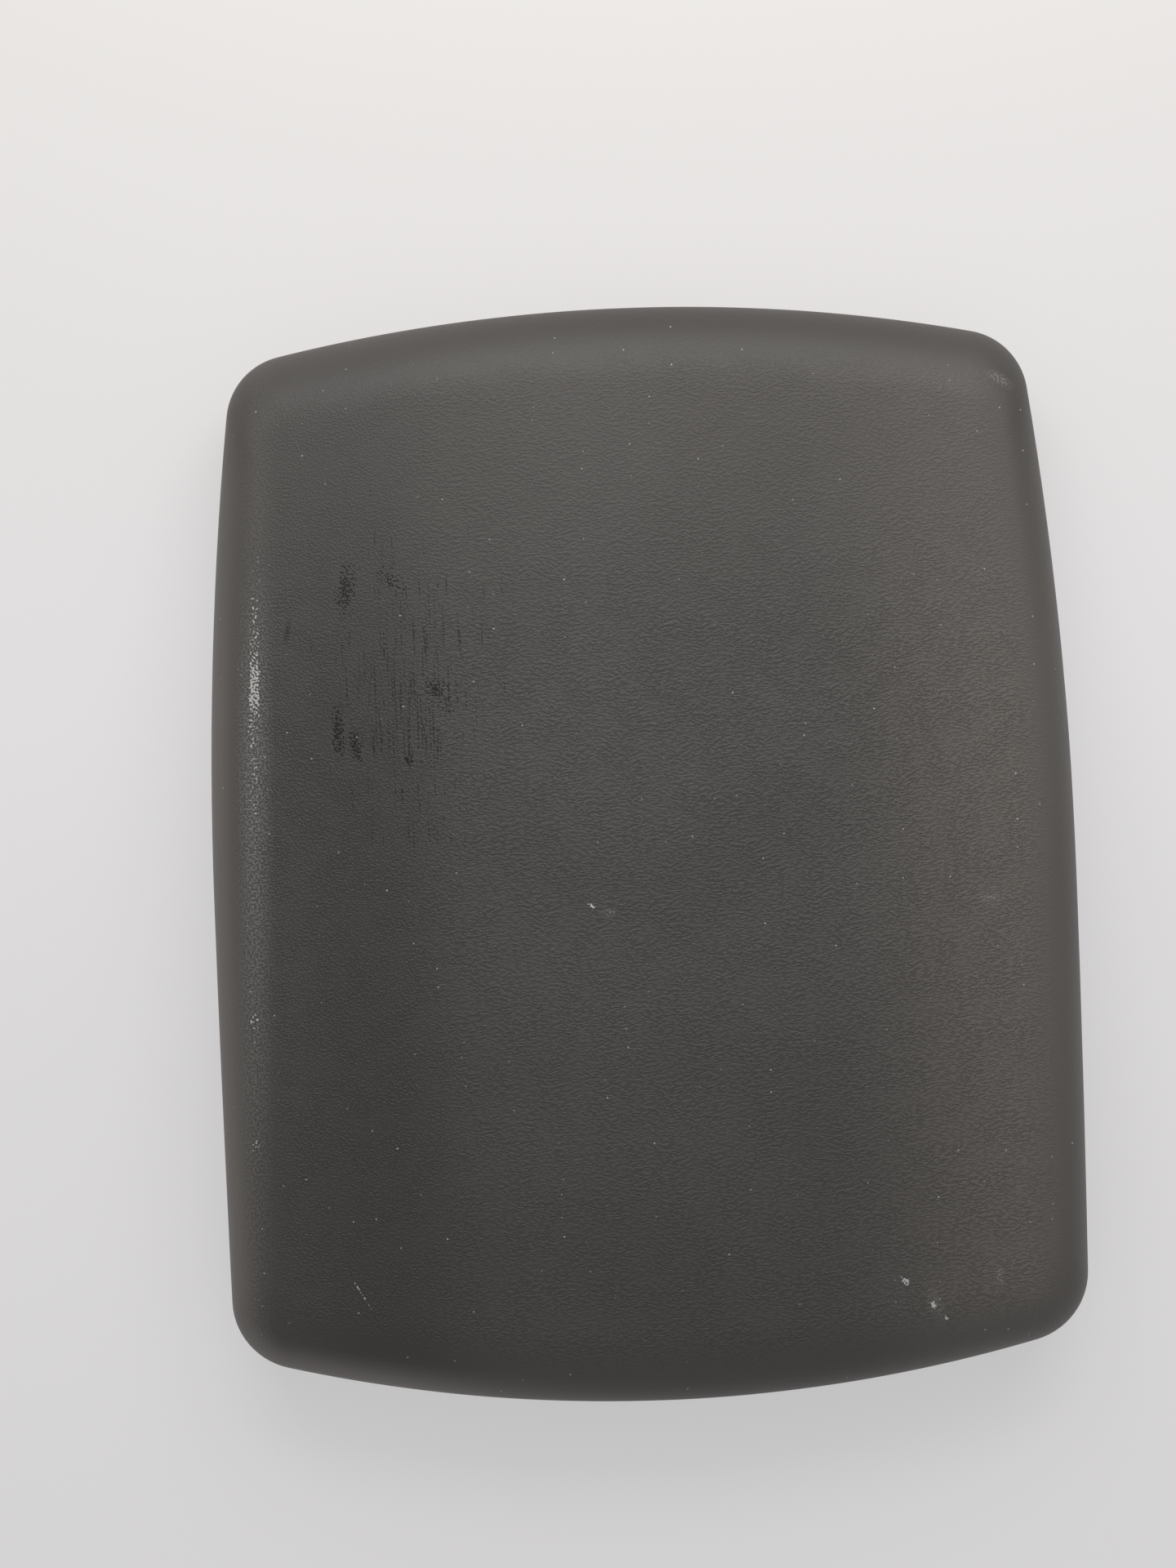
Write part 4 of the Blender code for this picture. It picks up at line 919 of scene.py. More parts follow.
@dataclass(frozen=True)
class PlatedSteel(Finish):
    """Pressed sheet or turned steel under a thin zinc plating with cloudy bands."""

    colour: Colour = (0.60, 0.59, 0.54)
    tint: Colour = (0.56, 0.57, 0.50)
    streak: Colour = (0.30, 0.29, 0.27)
    roughness: float = 0.38
    cloud_size: float = 9 * MM
    cloud: Span = (0.35, 0.68)
    cloud_gloss: float = 0.30
    crystal_size: float = 1.6 * MM
    crystal_depth: float = 0.003 * MM
    draw: Place = (1.0, 14.0, 14.0)
    draw_size: float = 6 * MM
    draw_step: Span = (0.66, 0.8)
    draw_share: float = 0.5
    draw_gloss: float = 0.08
    draw_depth: float = 0.006 * MM

    def surface(self, graph: Graph, place: Wire) -> Surface:
        """Colour, gloss and height of the plating.

        Args:
            graph: The finish's tree.
            place: The place in metres.

        Returns:
            What goes to the shader.
        """
        cloud = graph.noise(place, self.cloud_size, 4.0, Roughness=0.6, Distortion=0.6)
        crystals = graph.cells(place, self.crystal_size)
        drawn = graph.noise(graph.vector("MULTIPLY", place, self.draw), self.draw_size, 2.0)
        tone = graph.mix(cloud.rise(*self.cloud), self.colour, self.tint)
        tone = graph.mix(drawn.rise(*self.draw_step) * self.draw_share, tone, self.streak)
        rough = self.roughness + (cloud - 0.5) * self.cloud_gloss + drawn * self.draw_gloss
        height = drawn * self.draw_depth - crystals * self.crystal_depth
        return Surface(tone, rough, 1.0, height)


@dataclass(frozen=True)
class DarkSteel(Finish):
    """Oiled or blackened steel of springs, clips and screws, bright where it is rubbed."""

    colour: Colour = (0.045, 0.045, 0.047)
    bright: Colour = (0.22, 0.21, 0.20)
    roughness: float = 0.42
    metallic: float = 0.85
    cloud_size: float = 2.4 * MM
    cloud: Span = (0.58, 0.74)
    cloud_gloss: float = 0.25
    nick_size: float = 0.6 * MM
    nick: Span = (0.45, 0.62)
    nick_depth: float = 0.005 * MM
    rub_share: float = 0.6

    def surface(self, graph: Graph, place: Wire) -> Surface:
        """Colour, gloss and height of the steel.

        Args:
            graph: The finish's tree.
            place: The place in metres.

        Returns:
            What goes to the shader.
        """
        cloud = graph.noise(place, self.cloud_size, 3.0, Roughness=0.6)
        nicks = graph.noise(place, self.nick_size, 2.0)
        rubbed = cloud.rise(*self.cloud) * nicks.rise(*self.nick) * self.rub_share
        tone = graph.mix(rubbed, self.colour, self.bright)
        rough = self.roughness + (cloud - 0.5) * self.cloud_gloss
        return Surface(tone, rough, self.metallic, nicks * self.nick_depth)


@dataclass(frozen=True)
class MouldedFoam(Finish):
    """Cream polyurethane foam with a fine moulded rind and small open pores, with painted shade in the
    pores.
    """

    colour: Colour = (0.62, 0.53, 0.33)
    aged: Colour = (0.50, 0.38, 0.18)
    # Colour of the painted shade in the open pores.
    inside: Colour = (0.30, 0.22, 0.10)
    roughness: float = 0.92
    pore_size: float = 0.9 * MM
    pore: Span = (0.10, 0.45)
    pore_share: float = 0.5
    pore_depth: float = 0.12 * MM
    cloud_size: float = 22 * MM
    cloud: Span = (0.35, 0.7)
    cloud_depth: float = 0.2 * MM

    def surface(self, graph: Graph, place: Wire) -> Surface:
        """Colour, gloss and height of the foam.

        Args:
            graph: The finish's tree.
            place: The place in metres.

        Returns:
            What goes to the shader.
        """
        rind = graph.cells(place, self.pore_size).rise(*self.pore)
        cloud = graph.noise(place, self.cloud_size, 4.0, Roughness=0.6)
        tone = graph.mix(cloud.rise(*self.cloud), self.colour, self.aged)
        # Painted shade in the open pores.
        tone = graph.mix((1 - rind) * self.pore_share, tone, self.inside)
        height = rind * self.pore_depth + cloud * self.cloud_depth
        return Surface(tone, self.roughness, 0.0, height)


@dataclass(frozen=True)
class PlainSolid(Finish):
    """Nylon or rubber, softly mottled, with a faint moulded grain."""

    colour: Colour = (0.72, 0.70, 0.62)
    roughness: float = 0.45
    dark_gain: float = 0.76
    cloud_size: float = 5 * MM
    cloud: Span = (0.35, 0.7)
    fine_size: float = 0.35 * MM
    fine_gloss: float = 0.14
    fine_depth: float = 0.008 * MM

    def surface(self, graph: Graph, place: Wire) -> Surface:
        """Colour, gloss and height of the solid.

        Args:
            graph: The finish's tree.
            place: The place in metres.

        Returns:
            What goes to the shader.
        """
        cloud = graph.noise(place, self.cloud_size, 3.0)
        fine = graph.noise(place, self.fine_size, 2.0)
        tone = graph.mix(cloud.rise(*self.cloud), scaled(self.colour, self.dark_gain), self.colour)
        rough = self.roughness + (fine - 0.5) * self.fine_gloss
        return Surface(tone, rough, 0.0, fine * self.fine_depth)


SKIN = GrainedSkin("grained_skin", specular=0.42)
FOAM = MouldedFoam("foam", specular=0.2)
CARRIER = MouldedPlastic("carrier_plastic", colour=(0.03, 0.03, 0.031), grain=0.6 * MM)
LINER = MouldedPlastic("liner_plastic")
LATCH_PLASTIC = MouldedPlastic(
    "latch_plastic", colour=(0.04, 0.039, 0.038), roughness=0.45, depth=0.01 * MM
)
ZINC = PlatedSteel("zinc_plated_steel")
SPRING_STEEL = DarkSteel(
    "spring_steel", colour=(0.35, 0.34, 0.33), bright=(0.55, 0.54, 0.52), roughness=0.35, metallic=1.0
)
BLACK_STEEL = DarkSteel("black_steel")
NYLON = PlainSolid("bush_nylon")
RUBBER = PlainSolid("bumper_rubber", specular=0.3, colour=(0.02, 0.02, 0.02), roughness=0.82)


# Meshes


def add_object(name: str, mesh: bpy.types.Mesh) -> bpy.types.Object:
    """Put a mesh into the scene as an object at the origin.

    Args:
        name: Name of the new object.
        mesh: Its mesh.

    Returns:
        The new object.
    """
    made = bpy.data.objects.new(name, mesh)
    bpy.context.scene.collection.objects.link(made)
    return made


def add_points(name: str, places: Sequence[Place]) -> bpy.types.Object:
    """Put loose points into the scene, for shapes to be set on.

    Args:
        name: Name of the new object.
        places: Where the points lie.

    Returns:
        The new object.
    """
    mesh = bpy.data.meshes.new(name)
    mesh.from_pydata(places, [], [])
    return add_object(name, mesh)


@contextmanager
def edited(mesh: bpy.types.Mesh) -> Iterator[bmesh.types.BMesh]:
    """Open a mesh for editing and write it back at the end.

    Args:
        mesh: The mesh.

    Yields:
        The mesh in its editable form.
    """
    work = bmesh.new()
    work.from_mesh(mesh)
    yield work
    work.to_mesh(mesh)
    work.free()
    mesh.update()


def tidy_mesh(mesh: bpy.types.Mesh) -> None:
    """Merge a mesh's doubles and turn its faces outwards.

    Args:
        mesh: The mesh, which is changed.
    """
    with edited(mesh) as work:
        bmesh.ops.remove_doubles(work, verts=work.verts, dist=MERGE_DISTANCE)
        bmesh.ops.recalc_face_normals(work, faces=work.faces)


def circle(radius: float, z: float, steps: int, centre: Spot = (0.0, 0.0)) -> Ring:
    """A level ring of points around an upright axis, or one point where its radius is 0.

    Args:
        radius: The ring's radius.
        z: Its height.
        steps: How many points it has.
        centre: Where its axis stands.

    Returns:
        The ring.
    """
    if radius == 0:
        return [(*centre, z)]
    angles = [i / steps * TURN for i in range(steps)]
    return [(centre[0] + radius * math.cos(a), centre[1] + radius * math.sin(a), z) for a in angles]


def loft(name: str, rings: Sequence[Ring]) -> bpy.types.Object:
    """Join rings of points into one skin, its doubles merged and its faces pointing outwards.

    Args:
        name: Name of the new object.
        rings: Rings with as many points each, or with one point at a pole.

    Returns:
        The new object.
    """
    points: list[Place] = []
    starts = []
    for ring in rings:
        starts.append(len(points))
        points += ring
    faces: list[tuple[int, ...]] = []
    for a in range(len(rings) - 1):
        b = a + 1
        count = max(len(rings[a]), len(rings[b]))
        for i in range(count):
            j = (i + 1) % count
            if len(rings[a]) == 1:
                faces.append((starts[a], starts[b] + i, starts[b] + j))
            elif len(rings[b]) == 1:
                faces.append((starts[a] + j, starts[a] + i, starts[b]))
            else:
                faces.append((starts[a] + j, starts[a] + i, starts[b] + i, starts[b] + j))
    mesh = bpy.data.meshes.new(name)
    mesh.from_pydata(points, [], faces)
    tidy_mesh(mesh)
    return add_object(name, mesh)


def settled(obj: bpy.types.Object) -> bpy.types.Object:
    """Turn an object's modifiers into its plain mesh.

    Args:
        obj: The object, which is changed.

    Returns:
        The same object.
    """
    bpy.context.view_layer.update()
    graph = bpy.context.evaluated_depsgraph_get()
    mesh = bpy.data.meshes.new_from_object(obj.evaluated_get(graph))
    obj.modifiers.clear()
    obj.data = mesh
    return obj


def modified(obj: bpy.types.Object, kind: str, **settings: Any) -> bpy.types.Object:
    """Run one modifier on an object.

    Args:
        obj: The object, which is changed.
        kind: Blender's name for the type of modifier.
        **settings: The modifier's properties.

    Returns:
        The same object.
    """
    modifier = obj.modifiers.new(kind.lower(), kind)
    for name, value in settings.items():
        setattr(modifier, name, value)
    return settled(obj)


def walled(obj: bpy.types.Object, thickness: float) -> bpy.types.Object:
    """Give an open skin its thickness, on its inner side."""
    return modified(obj, "SOLIDIFY", thickness=thickness, offset=-1)


def cut(obj: bpy.types.Object, cutters: Iterable[bpy.types.Object]) -> bpy.types.Object:
    """Cut shapes out of an object.

    Args:
        obj: The object, which is changed.
        cutters: The shapes, which are used up.

    Returns:
        The same object.
    """
    for cutter in cutters:
        modified(obj, "BOOLEAN", operation="DIFFERENCE", solver="EXACT", object=cutter)
        bpy.data.objects.remove(cutter, do_unlink=True)
    return obj


def rounded(
    obj: bpy.types.Object, width: float, segments: int = 2, angle: float = math.radians(40)
) -> bpy.types.Object:
    """Round an object's sharp edges.

    Args:
        obj: The object, which is changed.
        width: Width of the rounding.
        segments: How many faces run across it.
        angle: How sharp an edge is to be rounded.

    Returns:
        The same object.
    """
    limits = {"limit_method": "ANGLE", "angle_limit": angle, "use_clamp_overlap": True}
    return modified(obj, "BEVEL", width=width, segments=segments, **limits)


def cylinder(name: str, radius: float, foot: Place, top_z: float, steps: int = 32) -> bpy.types.Object:
    """An upright cylinder, for use as a cutter.

    Args:
        name: Name of the new object.
        radius: Its radius.
        foot: Middle of its lower end.
        top_z: Height of its upper end.
        steps: How many sides it has.

    Returns:
        The new object.
    """
    x, y, z = foot
    ends = ((0.0, z), (radius, z), (radius, top_z), (0.0, top_z))
    return loft(name, [circle(reach, height, steps, (x, y)) for reach, height in ends])


def block(name: str, low: Place, high: Place) -> bpy.types.Object:
    """A plain box, for use as a cutter.

    Args:
        name: Name of the new object.
        low: Its lowest corner.
        high: Its highest corner.

    Returns:
        The new object.
    """
    middle, span = (Vector(low) + Vector(high)) / 2, Vector(high) - Vector(low)
    mesh = bpy.data.meshes.new(name)
    with edited(mesh) as work:
        bmesh.ops.create_cube(work, size=1)
        matrix = Matrix.Translation(middle) @ Matrix.Diagonal((*span, 1))
        bmesh.ops.transform(work, matrix=matrix, verts=work.verts)
    return add_object(name, mesh)


def finished(obj: bpy.types.Object, finish: Finish) -> bpy.types.Object:
    """Give an object its finish, and smooth shading that stops at sharp edges.

    Args:
        obj: The object, which is changed.
        finish: Its finish.

    Returns:
        The same object.
    """
    obj.data.materials.clear()
    obj.data.materials.append(finish.material())
    obj.data.shade_smooth()
    obj.data.set_sharp_from_angle(angle=SMOOTH_ANGLE)
    return obj


def node_copy(node: str) -> bpy.types.Object:
    """Copy a CAD node's mesh, merge it and make its flat facets whole.

    Args:
        node: The node's name.

    Returns:
        The copy, as a new object.
    """
    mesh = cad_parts[node].data.copy()
    tidy_mesh(mesh)
    with edited(mesh) as work:
        bmesh.ops.dissolve_limit(work, angle_limit=FLAT_ANGLE, verts=work.verts, edges=work.edges)
    return add_object(f"{node}_fine", mesh)


def placed(obj: bpy.types.Object, body: str, slot: str, nodes: Sequence[str]) -> None:
    """Attach a piece to its body, hide the CAD nodes that it stands for, and report it.

    Args:
        obj: The piece.
        body: Body that it rides on, or nothing where it is left unattached.
        slot: Not used.
        nodes: CAD nodes that it stands for.
    """
    if body:
        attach(obj, body)
    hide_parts(*nodes)
    LOG.info("%s: %d faces, for %s", obj.name, len(obj.data.polygons), ", ".join(nodes))


# Geometry node recipes


class Recipe:
    """A geometry node tree with named inputs that is run to give plain meshes."""

    def __init__(self, name: str, inputs: Mapping[str, Sequence[str]]) -> None:
        """Start a tree.

        Args:
            name: The tree's name.
            inputs: Labels of its own inputs, by the type of their sockets.
        """
        self.tree = bpy.data.node_groups.new(name, "GeometryNodeTree")
        self.add_socket("Geometry", "Geometry", "OUTPUT")
        self.add_socket("Geometry", "Geometry")
        for kind, labels in inputs.items():
            for label in labels:
                self.add_socket(label, kind)
        self.add_socket("Finish", "Material")
        self.graph = Graph(self.tree)
        self.entry = self.graph.node("NodeGroupInput")

    def add_socket(self, label: str, kind: str, way: str = "INPUT") -> None:
        """Add one input or output to the tree."""
        self.tree.interface.new_socket(name=label, in_out=way, socket_type=f"NodeSocket{kind}")

    def given(self, label: str) -> Wire:
        """The wire of one of the tree's inputs."""
        return Wire(self.graph, self.entry.outputs[label])

    def close(self, geometry: Wire) -> None:
        """End the tree in real faces with the finish on them.

        Args:
            geometry: What the tree has made.
        """
        real = self.graph.wire("GeometryNodeRealizeInstances", None, {"Geometry": geometry})
        sockets = {"Geometry": real, "Material": self.given("Finish")}
        dressed = self.graph.wire("GeometryNodeSetMaterial", None, sockets)
        self.graph.node("NodeGroupOutput", None, {"Geometry": dressed})

    def run(self, host: bpy.types.Object, finish: Finish, values: Mapping[str, Any]) -> bpy.types.Object:
        """Run the tree on an object and leave its plain mesh there.

        Args:
            host: Object whose mesh goes in, and which keeps the result.
            finish: Finish of the result.
            values: The tree's inputs by their labels.

        Returns:
            The host.
        """
        modifier = host.modifiers.new(self.tree.name, "NODES")
        modifier.node_group = self.tree
        entries = self.tree.interface.items_tree
        sockets = {s.name: s.identifier for s in entries if s.in_out == "INPUT"}
        for label, value in {**values, "Finish": finish.material()}.items():
            modifier[sockets[label]] = value
        return finished(settled(host), finish)


def scatter_recipe() -> Recipe:
    """A recipe that sets one shape on each point, turned at random about its upright axis.

    Returns:
        The recipe.
    """
    recipe = Recipe("set_on_places", {"Object": ["Shape"], "Float": ["Turn"], "Int": ["Seed"]})
    graph = recipe.graph
    sockets = {"Object": recipe.given("Shape")}
    shape = graph.wire("GeometryNodeObjectInfo", None, sockets, "Geometry")
    sockets = {"Min": 0.0, "Max": recipe.given("Turn"), "Seed": recipe.given("Seed")}
    chance = graph.wire("FunctionNodeRandomValue", {"data_type": "FLOAT"}, sockets)
    turn = graph.joined(Z=chance)
    sockets = {"Points": recipe.given("Geometry"), "Instance": shape, "Rotation": turn}
    recipe.close(graph.wire("GeometryNodeInstanceOnPoints", None, sockets))
    return recipe


def spring_recipe() -> Recipe:
    """A recipe for a torsion spring along X: a wound wire with a straight leg at each end.

    Returns:
        The recipe.
    """
    recipe = Recipe(
        "wound_spring",
        {
            "Float": ["Wire radius", "Coil radius", "Turns", "Pitch", "First angle", "Last angle"],
            "Vector": ["Centre", "First leg", "Last leg"],
            "Int": ["Steps", "Sides"],
        },
    )
    graph, given = recipe.graph, recipe.given
    steps = given("Steps")
    line = graph.wire("GeometryNodeMeshLine", {"mode": "OFFSET"}, {"Count": steps + 3})
    index = graph.wire("GeometryNodeInputIndex")
    share = ((index - 1) / steps).at_least(0.0).at_most(1.0)
    angle = given("First angle") + (given("Last angle") - given("First angle")) * share
    radius = given("Coil radius")
    shift = (share - 0.5) * given("Turns") * given("Pitch")
    around = graph.joined(
        X=shift, Y=graph.maths("COSINE", angle) * radius, Z=graph.maths("SINE", angle) * radius
    )
    path = graph.vector("ADD", given("Centre"), around)
    leg_shift = graph.joined(X=shift)
    for label, end in (("First leg", 0), ("Last leg", steps + 2)):
        settings = {"data_type": "INT", "operation": "EQUAL"}
        at_end = graph.wire("FunctionNodeCompare", settings, {"A": index, "B": end})
        leg = graph.vector("ADD", given(label), leg_shift)
        sockets = {"Switch": at_end, "False": path, "True": leg}
        path = graph.wire("GeometryNodeSwitch", {"input_type": "VECTOR"}, sockets)
    bent = graph.wire("GeometryNodeSetPosition", None, {"Geometry": line, "Position": path})
    curve = graph.wire("GeometryNodeMeshToCurve", None, {"Mesh": bent})
    sockets = {"Resolution": given("Sides"), "Radius": given("Wire radius")}
    section = graph.wire("GeometryNodeCurvePrimitiveCircle", None, sockets, "Curve")
    sockets = {"Curve": curve, "Profile Curve": section, "Fill Caps": True}
    recipe.close(graph.wire("GeometryNodeCurveToMesh", None, sockets))
    return recipe


def unevenness_recipe() -> Recipe:
    """A recipe that makes a soft surface a little uneven, as foam under a skin is.

    Returns:
        The recipe.
    """
    recipe = Recipe("soft_unevenness", {"Float": ["Depth", "Size", "Seed", "Foot", "Fade"]})
    graph, given = recipe.graph, recipe.given
    place = graph.wire("GeometryNodeInputPosition")
    height = graph.parts(place)[2]
    sockets = {"Vector": place, "W": given("Seed"), "Scale": 1 / given("Size"), "Detail": 1.5}
    noise = graph.wire("ShaderNodeTexNoise", {"noise_dimensions": "4D"}, sockets)
    above = ((height - given("Foot")) / given("Fade")).at_least(0.0).at_most(1.0)
    lift = (noise - 0.5) * 2.0 * given("Depth") * above
    sockets = {0: graph.wire("GeometryNodeInputNormal"), "Scale": lift}
    offset = graph.wire("ShaderNodeVectorMath", {"operation": "SCALE"}, sockets)
    sockets = {"Geometry": given("Geometry"), "Offset": offset}
    recipe.close(graph.wire("GeometryNodeSetPosition", None, sockets))
    return recipe


# The lid's shape


@dataclass(frozen=True)
class LidShape:
    """The outline and section of the padded lid, in metres, as its CAD source has them."""

    width: float = 266 * MM
    length: float = 338 * MM
    front_end_radius: float = 563 * MM
    rear_end_radius: float = 513 * MM
    side_bend_radius: float = 1318 * MM
    side_bend_start_y: float = -11 * MM
    front_corner: float = 20.5 * MM
    rear_corner: float = 21.5 * MM
    height: float = 46 * MM
    side_crown: float = 6 * MM
    end_crown: float = 7 * MM
    side_roll: float = 14 * MM
    end_roll: float = 26 * MM
    roll_height: float = 18 * MM
    crest_corner: float = 14 * MM
    wall_tuck: float = 0.6 * MM
    rim_radius: float = 2.6 * MM
    rim_wrap: float = 7.7 * MM
    lip_top_z: float = 7.5 * MM
    end_steps: int = 22
    corner_steps: int = 14
    bend_steps: int = 14
    straight_steps: int = 12
    roll_steps: int = 20
    crown_steps: int = 36
    rim_steps: int = 7
    wall_steps: int = 4

    @staticmethod
    def arc(centre: Spot, radius: float, start: float, end: float, steps: int) -> list[Spot]:
        """Points along an arc, without its last one."""
        angles = [blend(start, end, i / steps) for i in range(steps)]
        return [(centre[0] + radius * math.cos(a), centre[1] + radius * math.sin(a)) for a in angles]

    @staticmethod
    def meeting(a: Spot, reach_a: float, b: Spot, reach_b: float) -> Vector:
        """Find where two circles meet.

        Args:
            a: Middle of the first circle.
            reach_a: Its radius.
            b: Middle of the second circle.
            reach_b: Its radius.

        Returns:
            The upper one of the two points.
        """
        first, second = Vector(a), Vector(b)
        between = second - first
        along = (reach_a**2 - reach_b**2 + between.length_squared) / (2 * between.length)
        across = math.sqrt(reach_a**2 - along**2)
        axis = between.normalized()
        foot = first + axis * along
        side = Vector((-axis.y, axis.x)) * across
        return max((foot + side, foot - side), key=lambda point: point.y)

    def outline(self, side: float, front: float, rear: float, corners: Spot) -> list[Spot]:
        """One ring around the lid in plan.

        Args:
            side: How far the sides are moved in from the rim.
            front: How far the front end is moved in.
            rear: How far the rear end is moved in.
            corners: Radii of the front and the rear corners.

        Returns:
            The ring's points, from the middle of the rear end.
        """
        front_corner, rear_corner = corners
        side_x = self.width / 2 - side
        bend = (self.width / 2 - self.side_bend_radius, self.side_bend_start_y)
        bend_radius = self.side_bend_radius - side
        front_centre = (0.0, self.length / 2 - self.front_end_radius)
        front_radius = self.front_end_radius - front
        rear_centre = (0.0, self.rear_end_radius - self.length / 2)
        rear_radius = self.rear_end_radius - rear
        rear_x = side_x - rear_corner
        rear_y = rear_centre[1] - math.sqrt((rear_radius - rear_corner) ** 2 - rear_x**2)
        rear_angle = math.atan2(rear_y - rear_centre[1], rear_x)
        spot = self.meeting(bend, bend_radius - front_corner, front_centre, front_radius - front_corner)
        bend_angle = math.atan2(spot.y - bend[1], spot.x - bend[0])
        front_angle = math.atan2(spot.y - front_centre[1], spot.x)
        half = self.arc(rear_centre, rear_radius, -QUARTER, rear_angle, self.end_steps)
        half += self.arc((rear_x, rear_y), rear_corner, rear_angle, 0, self.corner_steps)
        for i in range(self.straight_steps):
            half.append((side_x, blend(rear_y, self.side_bend_start_y, i / self.straight_steps)))
        half += self.arc(bend, bend_radius, 0, bend_angle, self.bend_steps)
        half += self.arc((spot.x, spot.y), front_corner, bend_angle, front_angle, self.corner_steps)
        half += self.arc(front_centre, front_radius, front_angle, QUARTER, self.end_steps)
        tip = [(0.0, front_centre[1] + front_radius)]
        return half + tip + [(-x, y) for x, y in reversed(half[1:])]

    def crown(self, x: float, y: float) -> float:
        """Height of the padded top over a place, but for its rolled edges."""
        sides = self.side_crown * (2 * x / self.width) ** 2
        return self.height - sides - self.end_crown * (2 * y / self.length) ** 2

    def level_ring(self, inset: float, z: float) -> Ring:
        """A level ring at one inset all round."""
        corners = (self.front_corner - inset, self.rear_corner - inset)
        return [(x, y, z) for x, y in self.outline(inset, inset, inset, corners)]

    def roll_ring(self, inset: float, depth: float, roll_height: float, turn: float) -> Ring:
        """A ring of a layer's rolled edge.

        Args:
            inset: How far the layer's wall lies inside the rim.
            depth: How far its top lies under the padded top.
            roll_height: Height of its rolled edge.
            turn: From 0 at its wall to 1 at its crest.

        Returns:
            The ring.
        """
        run = 1 - math.cos(turn * QUARTER)
        drop = depth + roll_height * (1 - math.sin(turn * QUARTER))
        side, end = blend(inset, self.side_roll, run), blend(inset, self.end_roll, run)
        walls = (self.front_corner - inset, self.rear_corner - inset)
        corners = tuple(blend(wall, self.crest_corner, run) for wall in walls)
        return [(x, y, self.crown(x, y) - drop) for x, y in self.outline(side, end, end, corners)]

    def dome(self, inset: float, depth: float, roll_height: float) -> list[Ring]:
        """Rings of one layer of the top, from its wall over the crest to the middle.

        Args:
            inset: How far the layer's wall lies inside the rim.
            depth: How far its top lies under the padded top.
            roll_height: Height of its rolled edge.

        Returns:
            The rings.
        """
        turns = [i / self.roll_steps for i in range(self.roll_steps + 1)]
        rings = [self.roll_ring(inset, depth, roll_height, turn) for turn in turns]
        crest = rings[-1]
        for i in range(self.crown_steps - 1, 0, -1):
            share = i / self.crown_steps
            spots = [(x * share, y * share) for x, y, _ in crest]
            rings.append([(x, y, self.crown(x, y) - depth) for x, y in spots])
        rings.append([(0.0, 0.0, self.height - depth)])
        return rings

    def rim(self) -> list[Ring]:
        """The skin's wrapped edge: its inner face, its rounded rim and its outer wall.

        Returns:
            The rings, up to the foot of the rolled edge.
        """
        rings = [self.level_ring(self.rim_wrap, z) for z in (self.lip_top_z, self.lip_top_z / 2)]
        inner = self.rim_wrap - self.rim_radius
        outer = self.wall_tuck + self.rim_radius
        for centre, start in ((inner, 0.0), (outer, QUARTER)):
            for i in range(self.rim_steps + 1):
                angle = start + i / self.rim_steps * QUARTER
                inset = centre + self.rim_radius * math.cos(angle)
                rings.append(self.level_ring(inset, self.rim_radius * (1 - math.sin(angle))))
        lowest, foot = rings[-1], self.roll_ring(0, 0, self.roll_height, 0)
        for i in range(1, self.wall_steps):
            share = i / self.wall_steps
            pairs = zip(lowest, foot)
            rings.append([tuple(blend(a, b, share) for a, b in zip(low, high)) for low, high in pairs])
        return rings


SHAPE = LidShape()


# Sub-assemblies


@dataclass
class CoverSkin:
    """The grained skin over the padded top, wrapped around the rim."""

    shape: LidShape = SHAPE
    thickness: float = 2 * MM
    notch_half_width: float = 30 * MM
    notch_height: float = 10 * MM
    notch_reach: float = 14 * MM
    notch_corner: float = 2.5 * MM
    notch_corner_steps: int = 6
    clear: float = 5 * MM
    unevenness: float = 0.16 * MM
    uneven_size: float = 46 * MM
    uneven_foot: float = 20 * MM
    uneven_fade: float = 10 * MM
    seed: float = 3.7
    fill: float = 0.85

    def notch(self) -> bpy.types.Object:
        """Make the cutter of the finger notch at the front, with rounded upper corners.

        Returns:
            The cutter.
        """
        front = self.shape.length / 2
        low = (-self.notch_half_width, front - self.notch_reach, -self.clear)
        high = (self.notch_half_width, front + self.clear, self.notch_height)
        cutter = block("notch", low, high)
        with edited(cutter.data) as work:
            edges = []
            for edge in work.edges:
                a, b = (corner.co for corner in edge.verts)
                if min(a.z, b.z) > 0 and abs(a.y - b.y) > self.notch_corner:
                    edges.append(edge)
            rounding = {"offset": self.notch_corner, "segments": self.notch_corner_steps}
            bmesh.ops.bevel(work, geom=edges, profile=0.5, affect="EDGES", **rounding)
        return cutter

    def add_inward(self, obj: bpy.types.Object) -> None:
        """Store how far each point lies inside the outline, for the skin's finish.

        Args:
            obj: The skin.
        """
        corners = (self.shape.front_corner, self.shape.rear_corner)
        outline = np.array(self.shape.outline(0, 0, 0, corners))
        spans = np.roll(outline, -1, axis=0) - outline
        points = np.array([v.co[:2] for v in obj.data.vertices])
        nearest = np.full(len(points), self.shape.length)
        for start, span in zip(outline, spans):
            share = np.clip((points - start) @ span / (span @ span), 0, 1)
            away = np.linalg.norm(points - start - share[:, None] * span, axis=1)
            nearest = np.minimum(nearest, away)
        attribute = obj.data.attributes.new("inward", "FLOAT", "POINT")
        attribute.data.foreach_set("value", nearest.astype(np.float32))

    def build(self, recipe: Recipe) -> None:
        """Build the skin and place it.

        Args:
            recipe: The recipe that makes it uneven.
        """
        rings = self.shape.rim() + self.shape.dome(0, 0, self.shape.roll_height)
        skin = loft("cover_skin_fine", rings)
        values = {
            "Depth": self.unevenness,
            "Size": self.uneven_size,
            "Seed": self.seed,
            "Foot": self.uneven_foot,
            "Fade": self.uneven_fade,
        }
        recipe.run(skin, SKIN, values)
        cut(walled(skin, self.thickness), [self.notch()])
        finished(skin, SKIN)
        self.add_inward(skin)
        placed(skin, "lid", SKIN.name, ["cover_skin"])


